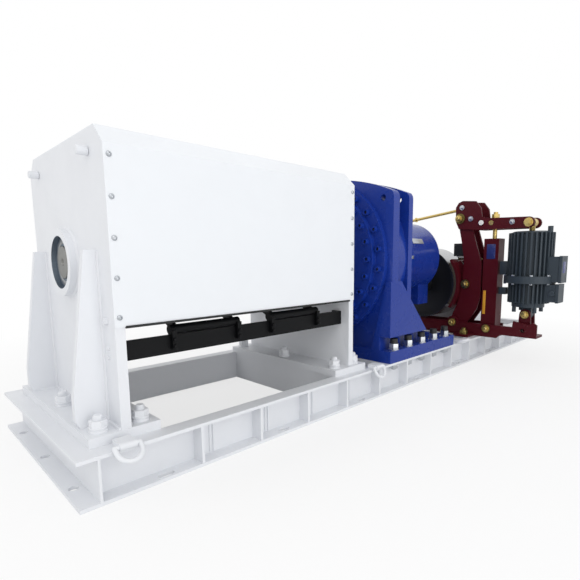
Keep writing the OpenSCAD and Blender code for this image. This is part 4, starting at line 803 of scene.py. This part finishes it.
class WINCH_OT_frame_bolts(bpy.types.Operator):
    """Set the stands' bolts and the gear unit's foot studs, with their nuts and washers."""

    bl_idname = "winch.frame_bolts"
    bl_label = "Frame bolts"

    def execute(self, context):
        rail_top = spans("side_rails")[1].z
        self.stand_studs(rail_top + STAND_BASE_T, STAND_BASE_T + CHANNEL_FLANGE_T)
        self.foot_studs(rail_top + GEAR_FOOT_H, GEAR_FOOT_H + CHANNEL_FLANGE_T)
        return {"FINISHED"}

    def stand_studs(self, face_z, grip):
        """Add the stands' painted studs: two washers and a nut above, a nut below."""
        thread_r = FRAME_THREAD_R
        shape = bmesh.new()
        stack = thread_r * 0.8
        for low, high in loose_parts("stand_bolts"):
            middle = (low + high) / 2
            place = Vector((middle.x, middle.y, face_z))
            washer(shape, thread_r * WASHER_SHARE, stack * 0.6, place, UP)
            washer(shape, thread_r * 1.65, stack * 0.4, place + UP * stack * 0.6, UP)
            nut_stack(shape, place + UP * stack, UP, thread_r, thread_r)
            washer(shape, thread_r, grip + stack, place - UP * grip, UP)
            nut_stack(shape, place - UP * grip, -UP, thread_r, thread_r / 2)
        stand(shape, "stand_studs", finishes["white_paint"], "frame", ("stand_bolts",))

    def foot_studs(self, face_z, grip):
        """Add the gear unit's foot studs: a washer and a tall nut above, a nut below."""
        thread_r = FRAME_THREAD_R
        shape = bmesh.new()
        nut_h = thread_r * 1.3 + 8 * MM
        for low, high in loose_parts("gear_foot_bolts"):
            middle = (low + high) / 2
            place = Vector((middle.x, middle.y, face_z))
            washer(shape, thread_r * WASHER_SHARE, thread_r * 0.3, place, UP)
            hexagon(shape, thread_r * NUT_SHARE, nut_h, place + UP * thread_r * 0.3, UP)
            washer(shape, thread_r, grip, place - UP * grip, UP)
            nut_stack(shape, place - UP * grip, -UP, thread_r, thread_r / 2)
        stand(shape, "gear_foot_studs", finishes["zinc_clear"], "frame", ("gear_foot_bolts",))


class WINCH_OT_welds(bpy.types.Operator):
    """Lay the welds of the stands and the rails."""

    bl_idname = "winch.welds"
    bl_label = "Welds"

    def execute(self, context):
        width = context.scene.winch_sizes.weld_size
        shape = bmesh.new()
        base_z = spans("side_rails")[1].z + STAND_BASE_T
        cover_low, cover_high = spans("guard_cover")[:2]
        left_reach, right_reach = 50 * MM, 26 * MM
        for plate_x, out, reach in ((cover_low.x, -1, left_reach), (cover_high.x, 1, right_reach)):
            self.stand_welds(shape, plate_x, out, reach, base_z, width)
            self.boss_weld(shape, plate_x, out)
        self.stiffener_welds(shape, width * 0.7)
        stand(shape, "frame_welds", finishes["white_paint"], "frame", smooth_deg=60)
        return {"FINISHED"}

    def stand_welds(self, shape, plate_x, out, reach, base_z, width):
        """Weld a stand's plate and ribs to its base plate."""
        half, rib_out, rib_in, rib_h = 300 * MM, 225 * MM, 205 * MM, 428 * MM
        outward = (out, 0, 0)
        for first, last in ((-half, -rib_out), (-rib_in, rib_in), (rib_out, half)):
            weld_bead(shape, (plate_x, first, base_z), (plate_x, last, base_z), width, outward, UP)
        for side in (-1, 1):
            for face, way in ((rib_out, 1), (rib_in, -1)):
                foot = Vector((plate_x, side * face, base_z))
                sideways = (0, side * way, 0)
                weld_bead(shape, foot, foot + UP * rib_h, width * 0.8, outward, sideways)
                weld_bead(shape, foot, foot + Vector((out * reach, 0, 0)), width * 0.8, UP, sideways)

    def boss_weld(self, shape, plate_x, out):
        """Lay the round weld where a bearing boss meets its stand."""
        boss_r, size = 92 * MM, 6 * MM
        inner, axis_z = boss_r - size / 4, spans("rope_drum")[2].z
        profile = [(inner, -size / 4), (boss_r + size, -size / 4), (boss_r + size * 0.75, size * 0.35)]
        profile += [(boss_r + size * 0.3, size * 0.8), (inner, size), (inner, -size / 4)]
        turned(shape, profile, (plate_x, 0, axis_z), (out, 0, 0), steps=72)

    def stiffener_welds(self, shape, width):
        """Lay a weld up each side of the rails' stiffeners, against the web."""
        low, high = spans("side_rails")[:2]
        first_x, pitch, half_t = low.x + 310 * MM, 200 * MM, 4 * MM
        web_y = high.y - 44 * MM
        gap = 12 * MM
        for count in range(int((high.x - first_x) / pitch) + 1):
            for side in (-1, 1):
                for way in (-1, 1):
                    foot = Vector((first_x + count * pitch + way * half_t, side * web_y, gap))
                    head = Vector((foot.x, foot.y, high.z - gap))
                    weld_bead(shape, foot, head, width, (way, 0, 0), (0, side, 0))


class WINCH_OT_shaft_end(bpy.types.Operator):
    """Line the left boss with bare machined steel and set the bearing's cover ring in it."""

    bl_idname = "winch.shaft_end"
    bl_label = "Shaft end"

    def execute(self, context):
        low, high, middle = spans("shaft_bearings")
        bore_r = (high.z - low.z) / 2
        self.bore_lining(bore_r, low.x, middle.z)
        self.cover_ring(bore_r, low.x, middle.z)
        return {"FINISHED"}

    def bore_lining(self, bore_r, bearing_x, axis_z):
        """Line the boss from its open end to the bearing."""
        boss_proud, wall_out, wall_in, start = 22 * MM, 0.1 * MM, 0.4 * MM, 0.2 * MM
        boss_x = spans("guard_cover")[0].x - boss_proud
        depth = bearing_x - boss_x
        profile = [(bore_r + wall_out, start), (bore_r + wall_out, depth), (bore_r - wall_in, depth)]
        profile += [(bore_r - wall_in, start), (bore_r + wall_out, start)]
        sleeve = bmesh.new()
        turned(sleeve, profile, (boss_x, 0, axis_z), (1, 0, 0), steps=96)
        stand(sleeve, "boss_bore_lining", finishes["oiled_steel"], "frame")

    def cover_ring(self, bore_r, bearing_x, axis_z):
        """Set a flat ring with broken edges against the bearing."""
        shaft_r, lip, edge = 46 * MM, 2 * MM, 1 * MM
        ring_in, ring_out = shaft_r + 5 * MM, bore_r - 6 * MM
        profile = [(ring_in, 0), (ring_out, 0), (ring_out, lip), (ring_out - edge, lip + edge)]
        profile += [(ring_in + 2 * edge, lip + edge), (ring_in, lip), (ring_in, 0)]
        ring = bmesh.new()
        turned(ring, profile, (bearing_x + edge, 0, axis_z), NEAR_END, steps=72)
        stand(ring, "bearing_cover_ring", finishes["bare_steel"], "frame")


class WINCH_OT_brake_trim(bpy.types.Operator):
    """Fit the brake's blank plate, marker strip, threads, pin nuts, bolt heads and white cap."""

    bl_idname = "winch.brake_trim"
    bl_label = "Brake trim"

    def execute(self, context):
        self.tube_plate()
        self.tube_strip()
        self.rod_thread()
        self.pin_nuts()
        self.crank_heads()
        return {"FINISHED"}

    def tube_plate(self):
        """Rivet a blank plate near the top of the spring tube."""
        low, high, middle = spans("spring_tube")
        width, height, thick, from_top = 46 * MM, 78 * MM, 1.2 * MM, 68 * MM
        plate = bmesh.new()
        blank_plate(plate, width, height, thick, (low.x - thick / 2, middle.y, high.z - from_top), NEAR_END)
        stand(plate, "tube_blank_plate", finishes["blue_plate"], "spring_case")

    def tube_strip(self):
        """Set the marker strip on the spring tube, near its far edge."""
        low, high, _ = spans("spring_tube")
        size = (3 * MM, 15 * MM, 128 * MM)
        from_edge, from_top, edge = 14 * MM, 340 * MM, 0.8 * MM
        strip = bmesh.new()
        block(strip, size, (low.x, high.y - from_edge, high.z - from_top), edge)
        stand(strip, "tube_marker_strip", finishes["yellow_strip"], "spring_case")

    def rod_thread(self):
        """Cut the thread on the spring rod's upper end."""
        _, high, middle = spans("spring_rod")
        radius, length, pitch = 11.3 * MM, 40 * MM, 3 * MM
        shape = bmesh.new()
        thread(shape, radius, length, pitch, (middle.x, middle.y, high.z - length), UP)
        stand(shape, "spring_rod_thread", finishes["zinc_yellow"], "spring_bar")

    def pin_nuts(self):
        """Set a nut with its stud end on the near end of each main pin."""
        main_pin_length = 60 * MM
        for node, body in (
            ("near_lever_pins", "near_arm"),
            ("far_lever_pins", "far_arm"),
            ("brake_base_pins", "frame"),
        ):
            shape = bmesh.new()
            for low, high in loose_parts(node):
                if high.x - low.x > main_pin_length:
                    middle = (low + high) / 2
                    self.pin_nut(shape, Vector((low.x, middle.y, middle.z)))
            stand(shape, body + "_nuts", finishes["zinc_yellow"], body)

    def pin_nut(self, shape, place):
        """Add a washer, a nut and a stud end that face the near end of the frame."""
        nut_r, nut_h, stud_r, washer_t = 15 * MM, 9 * MM, 8.5 * MM, 2 * MM
        face = place + NEAR_END * washer_t
        washer(shape, nut_r * 1.25, washer_t, place, NEAR_END)
        hexagon(shape, nut_r, nut_h, face, NEAR_END)
        thread(shape, stud_r, nut_h + 2 * washer_t, 2 * MM, face, NEAR_END)

    def crank_heads(self):
        """Set hexagon heads on the crank's spacer bolts, and a white cap on one."""
        head_r, head_h = 9 * MM, 6 * MM
        cap = [(0, 0), (13 * MM, 0), (13 * MM, 3 * MM), (11.5 * MM, 4.4 * MM), (0, 5 * MM)]
        capped_y, near_enough = -333 * MM, 5 * MM
        heads = bmesh.new()
        caps = bmesh.new()
        for low, high in loose_parts("crank_bolts"):
            middle = (low + high) / 2
            place = Vector((low.x, middle.y, middle.z))
            if abs(middle.y - capped_y) < near_enough:
                turned(caps, cap, place, NEAR_END, steps=32)
            else:
                hexagon(heads, head_r, head_h, place, NEAR_END)
        stand(heads, "crank_bolt_heads", finishes["zinc_clear"], "crank")
        stand(caps, "crank_cap", finishes["white_plastic"], "crank")


class WINCH_OT_thruster_trim(bpy.types.Operator):
    """Add the thruster's screws, side castings and blank plate."""

    bl_idname = "winch.thruster_trim"
    bl_label = "Thruster trim"

    def execute(self, context):
        box_low, _, box_mid = spans("terminal_boxes")
        axis_x, lid_y = box_mid.x, box_low.y
        screws = bmesh.new()
        self.flange_screws(screws, axis_x)
        self.lid_screws(screws, axis_x, lid_y)
        stand(screws, "thruster_screws", finishes["zinc_clear"], "thruster")
        self.lid_plate(axis_x, lid_y)
        self.side_castings(axis_x)
        return {"FINISHED"}

    def flange_screws(self, shape, axis_x):
        """Add eight screws round the flange, with their nuts under it."""
        count, axis_y, circle_r = 8, -570 * MM, 112.36 * MM
        flange_z, flange_t = 417 * MM, 36 * MM
        head_r, head_h, nut_r, nut_h = 8 * MM, 7 * MM, 7 * MM, 6 * MM
        for step in range(count):
            turn = math.tau * (step + 0.5) / count
            away_x, away_y = circle_r * math.cos(turn), circle_r * math.sin(turn)
            spot = Vector((axis_x + away_x, axis_y + away_y, flange_z))
            hexagon(shape, head_r, head_h, spot + UP * flange_t, UP)
            hexagon(shape, nut_r, nut_h, spot, -UP)

    def lid_screws(self, shape, axis_x, lid_y):
        """Sink a pair of socket screws at each end of both terminal boxes' lids."""
        head_r, head_h, half_span, lower_lid_back = 4.5 * MM, 3.4 * MM, 35 * MM, 7.5 * MM
        upper_lid, lower_lid = (437 * MM, 537 * MM), (339 * MM, 401 * MM)
        for side in (-1, 1):
            for rows, back in ((upper_lid, 0), (lower_lid, lower_lid_back)):
                for z in rows:
                    place = (axis_x + side * half_span, lid_y + head_h + back, z)
                    socket_head(shape, head_r, head_h, place, NEAR_SIDE)

    def lid_plate(self, axis_x, lid_y):
        """Set a blank plate on the upper lid, just proud of it."""
        width, height, thick, proud, middle_z = 46 * MM, 56 * MM, 1 * MM, 0.15 * MM, 497 * MM
        plate = bmesh.new()
        place = (axis_x, lid_y + thick / 2 - proud, middle_z)
        blank_plate(plate, width, height, thick, place, NEAR_SIDE, rivets=False)
        stand(plate, "thruster_blank_plate", finishes["blue_plate"], "thruster")

    def side_castings(self, axis_x):
        """Add the two cast blocks that stand out on the far side, above and below the flange."""
        upper, lower = (-468, -430, 456, 527, 52), (-466, -428, 353, 389, 44)
        edge = 3 * MM
        castings = bmesh.new()
        for near_y, far_y, low_z, high_z, width in (upper, lower):
            size = (width * MM, (far_y - near_y) * MM, (high_z - low_z) * MM)
            place = (axis_x, (near_y + far_y) / 2 * MM, (low_z + high_z) / 2 * MM)
            block(castings, size, place, edge)
        stand(castings, "thruster_side_castings", finishes["thruster_paint"], "thruster")


class WINCH_OT_press_trim(bpy.types.Operator):
    """Add the bolt heads on the brackets of the press bar."""

    bl_idname = "winch.press_trim"
    bl_label = "Press trim"

    def execute(self, context):
        bar_top = spans("press_bar")[1].z
        head_r, head_h = 6.5 * MM, 5 * MM
        shape = bmesh.new()
        for low, high in loose_parts("press_brackets"):
            middle = (low + high) / 2
            for drop in (12 * MM, 30 * MM):
                hexagon(shape, head_r, head_h, (middle.x, low.y, bar_top - drop), NEAR_SIDE)
        stand(shape, "press_bracket_bolts", finishes["black_paint"], "frame")
        return {"FINISHED"}


class WINCH_OT_gear_trim(bpy.types.Operator):
    """Add the blank plates of the gear unit, and black discs in its flange screws' sockets as painted
    shade.
    """

    bl_idname = "winch.gear_trim"
    bl_label = "Gear trim"

    def execute(self, context):
        plates = bmesh.new()
        self.case_plate(plates, (100 * MM, 28 * MM), station=350 * MM, case_r=186 * MM, lean_deg=153)
        self.case_plate(plates, (22 * MM, 15 * MM), station=248 * MM, case_r=202 * MM, lean_deg=178.5)
        stand(plates, "gear_blank_plates", finishes["bare_plate"], "frame")
        self.socket_painted_shade()
        return {"FINISHED"}

    def case_plate(self, shape, size, station, case_r, lean_deg):
        """Rivet a plate to the planet case, at a station along it and a lean round it."""
        low, _, middle = spans("planet_case")
        thick = 3 * MM
        lean = math.radians(lean_deg)
        outward = Vector((0, math.cos(lean), math.sin(lean)))
        place = Vector((low.x + station, 0, middle.z)) + outward * (case_r + thick / 3)
        blank_plate(shape, size[0], size[1], thick, place, outward)

    def socket_painted_shade(self):
        """Set a black disc at the bottom of each flange screw's socket, as painted shade in the recess."""
        floor_r, floor_t, depth = 6.6 * MM, 0.5 * MM, 7.6 * MM
        floors = bmesh.new()
        for low, high in loose_parts("gear_flange_bolts"):
            middle = (low + high) / 2
            # A black nylon disc paints the shade at the bottom of the socket.
            washer(floors, floor_r, floor_t, Vector((low.x + depth, middle.y, middle.z)), NEAR_END)
        stand(floors, "bolt_socket_painted_shade", finishes["black_plastic"], "frame")


def make_floor(colours):
    """Lay a wide pale floor that shows white to the camera and keeps a faint shadow."""
    half_width, drop = 30.0, 0.2 * MM
    shape = bmesh.new()
    bmesh.ops.create_grid(shape, x_segments=1, y_segments=1, size=half_width)
    bmesh.ops.translate(shape, verts=shape.verts, vec=(0, 0, cad_bounds[0][2] - drop))
    mesh = bpy.data.meshes.new("floor")
    shape.to_mesh(mesh)
    shape.free()
    floor = bpy.data.objects.new("floor", mesh)
    bpy.context.scene.collection.objects.link(floor)
    material, tree = new_material("studio_floor")
    place = add(tree, "ShaderNodeTexCoord").outputs["Object"]
    reach = add(tree, "ShaderNodeVectorMath", {0: place}, operation="LENGTH")
    # Between these distances from the middle, in metres, the floor turns from faintly shaded to white.
    shaded_to, white_from, shaded_share = 1.2, 2.6, 0.7
    whiten = add(
        tree,
        "ShaderNodeMapRange",
        {
            "Value": reach.outputs["Value"],
            "From Min": shaded_to,
            "From Max": white_from,
            "To Min": shaded_share,
            "To Max": 1.0,
        },
    )
    path = add(tree, "ShaderNodeLightPath")
    share = add(
        tree,
        "ShaderNodeMath",
        {0: path.outputs["Is Camera Ray"], 1: whiten.outputs["Result"]},
        operation="MULTIPLY",
    )
    plain = add(tree, "ShaderNodeBsdfDiffuse", {"Color": linear(colours.floor)})
    white = add(tree, "ShaderNodeEmission", {"Color": (1, 1, 1, 1), "Strength": 1.0})
    shader = add(
        tree,
        "ShaderNodeMixShader",
        {"Fac": share.outputs["Value"], 1: plain.outputs["BSDF"], 2: white.outputs["Emission"]},
    )
    add(tree, "ShaderNodeOutputMaterial", {"Surface": shader.outputs["Shader"]})
    mesh.materials.append(material)


def area_lamp(name, place, target, size, power):
    """Hang one soft square lamp that faces a target; its power is in watts."""
    lamp = bpy.data.lights.new(name, "AREA")
    lamp.shape = "SQUARE"
    lamp.size = size
    lamp.energy = power
    holder = bpy.data.objects.new(name, lamp)
    bpy.context.scene.collection.objects.link(holder)
    away = Vector(place) - Vector(target)
    holder.matrix_world = Matrix.Translation(place) @ away.to_track_quat("Z", "Y").to_matrix().to_4x4()


def make_light(scene):
    """Light the winch as in a bright studio: an even sky, and soft lamps on the camera's side."""
    world = bpy.data.worlds.new("studio")
    scene.world = world
    world.use_nodes = True
    tree = world.node_tree
    tree.nodes.clear()
    path = add(tree, "ShaderNodeLightPath")
    mirror = add(
        tree,
        "ShaderNodeMath",
        {0: path.outputs["Is Glossy Ray"], 1: path.outputs["Is Transmission Ray"]},
        operation="MAXIMUM",
    )
    seen = add(
        tree,
        "ShaderNodeMath",
        {0: path.outputs["Is Camera Ray"], 1: mirror.outputs["Value"]},
        operation="MAXIMUM",
    )
    # The camera and mirrors see white; the sky lights the object a little below that.
    strength = add(
        tree, "ShaderNodeMapRange", {"Value": seen.outputs["Value"], "To Min": 0.8, "To Max": 1.0}
    )
    sky = add(
        tree, "ShaderNodeBackground", {"Color": (1, 1, 1, 1), "Strength": strength.outputs["Result"]}
    )
    add(tree, "ShaderNodeOutputWorld", {"Surface": sky.outputs["Background"]})
    middle, lamp_width, top_width = (0.0, 0.0, 0.4), 2.4, 3.0
    area_lamp("key", (-2.6, -2.6, 3.4), middle, lamp_width, 20)
    area_lamp("front", (-1.2, -3.8, 0.9), middle, lamp_width, 34)
    area_lamp("side", (-4.6, 0.8, 1.6), middle, lamp_width, 14)
    area_lamp("top", (0.6, 1.2, 4.0), middle, top_width, 8)
    scene.view_settings.view_transform = "Standard"


def make_camera(scene):
    """Stand the camera where the picture was taken from."""
    place = Vector((-1674.85, -1332.02, 556.30)) * MM
    heading, pitch, roll = math.radians(44.609), math.radians(-7.828), math.radians(0.372)
    focal_px = 431.6
    centre_px = (312.2, 316.0)
    camera = bpy.data.cameras.new("picture_camera")
    camera.sensor_width = SENSOR_MM
    camera.lens = SENSOR_MM * focal_px / IMAGE_PX
    camera.shift_x = (IMAGE_PX / 2 - centre_px[0]) / IMAGE_PX
    camera.shift_y = (centre_px[1] - IMAGE_PX / 2) / IMAGE_PX
    camera.clip_end = 200
    holder = bpy.data.objects.new("picture_camera", camera)
    scene.collection.objects.link(holder)
    turn = (
        Matrix.Rotation(heading - math.pi / 2, 4, "Z")
        @ Matrix.Rotation(math.pi / 2 + pitch, 4, "X")
        @ Matrix.Rotation(-roll, 4, "Z")
    )
    holder.matrix_world = Matrix.Translation(place) @ turn
    scene.camera = holder


class WINCH_PT_panel(bpy.types.Panel):
    """Lists the winch's steps."""

    bl_idname = "WINCH_PT_panel"
    bl_label = "Winch"
    bl_space_type = "VIEW_3D"
    bl_region_type = "UI"
    bl_category = "Winch"

    def draw(self, context):
        for step in STEPS:
            self.layout.operator(step.bl_idname)


STEPS = (
    WINCH_OT_stage,
    WINCH_OT_finishes,
    WINCH_OT_rounded,
    WINCH_OT_cover_screws,
    WINCH_OT_frame_bolts,
    WINCH_OT_welds,
    WINCH_OT_shaft_end,
    WINCH_OT_press_trim,
    WINCH_OT_gear_trim,
    WINCH_OT_brake_trim,
    WINCH_OT_thruster_trim,
)
GROUPS = (WinchSizes, WinchColours)


def register():
    """Register the classes and give the scene its settings."""
    for kind in GROUPS + STEPS + (WINCH_PT_panel,):
        bpy.utils.register_class(kind)
    bpy.types.Scene.winch_sizes = PointerProperty(type=WinchSizes)
    bpy.types.Scene.winch_colours = PointerProperty(type=WinchColours)


def unregister():
    """Take the settings and the classes away again."""
    del bpy.types.Scene.winch_colours
    del bpy.types.Scene.winch_sizes
    for kind in reversed(GROUPS + STEPS + (WINCH_PT_panel,)):
        bpy.utils.unregister_class(kind)


def main():
    """Run every operator in order."""
    register()
    for step in STEPS:
        group, name = step.bl_idname.split(".")
        getattr(getattr(bpy.ops, group), name)()


if __name__ == "__main__":
    main()
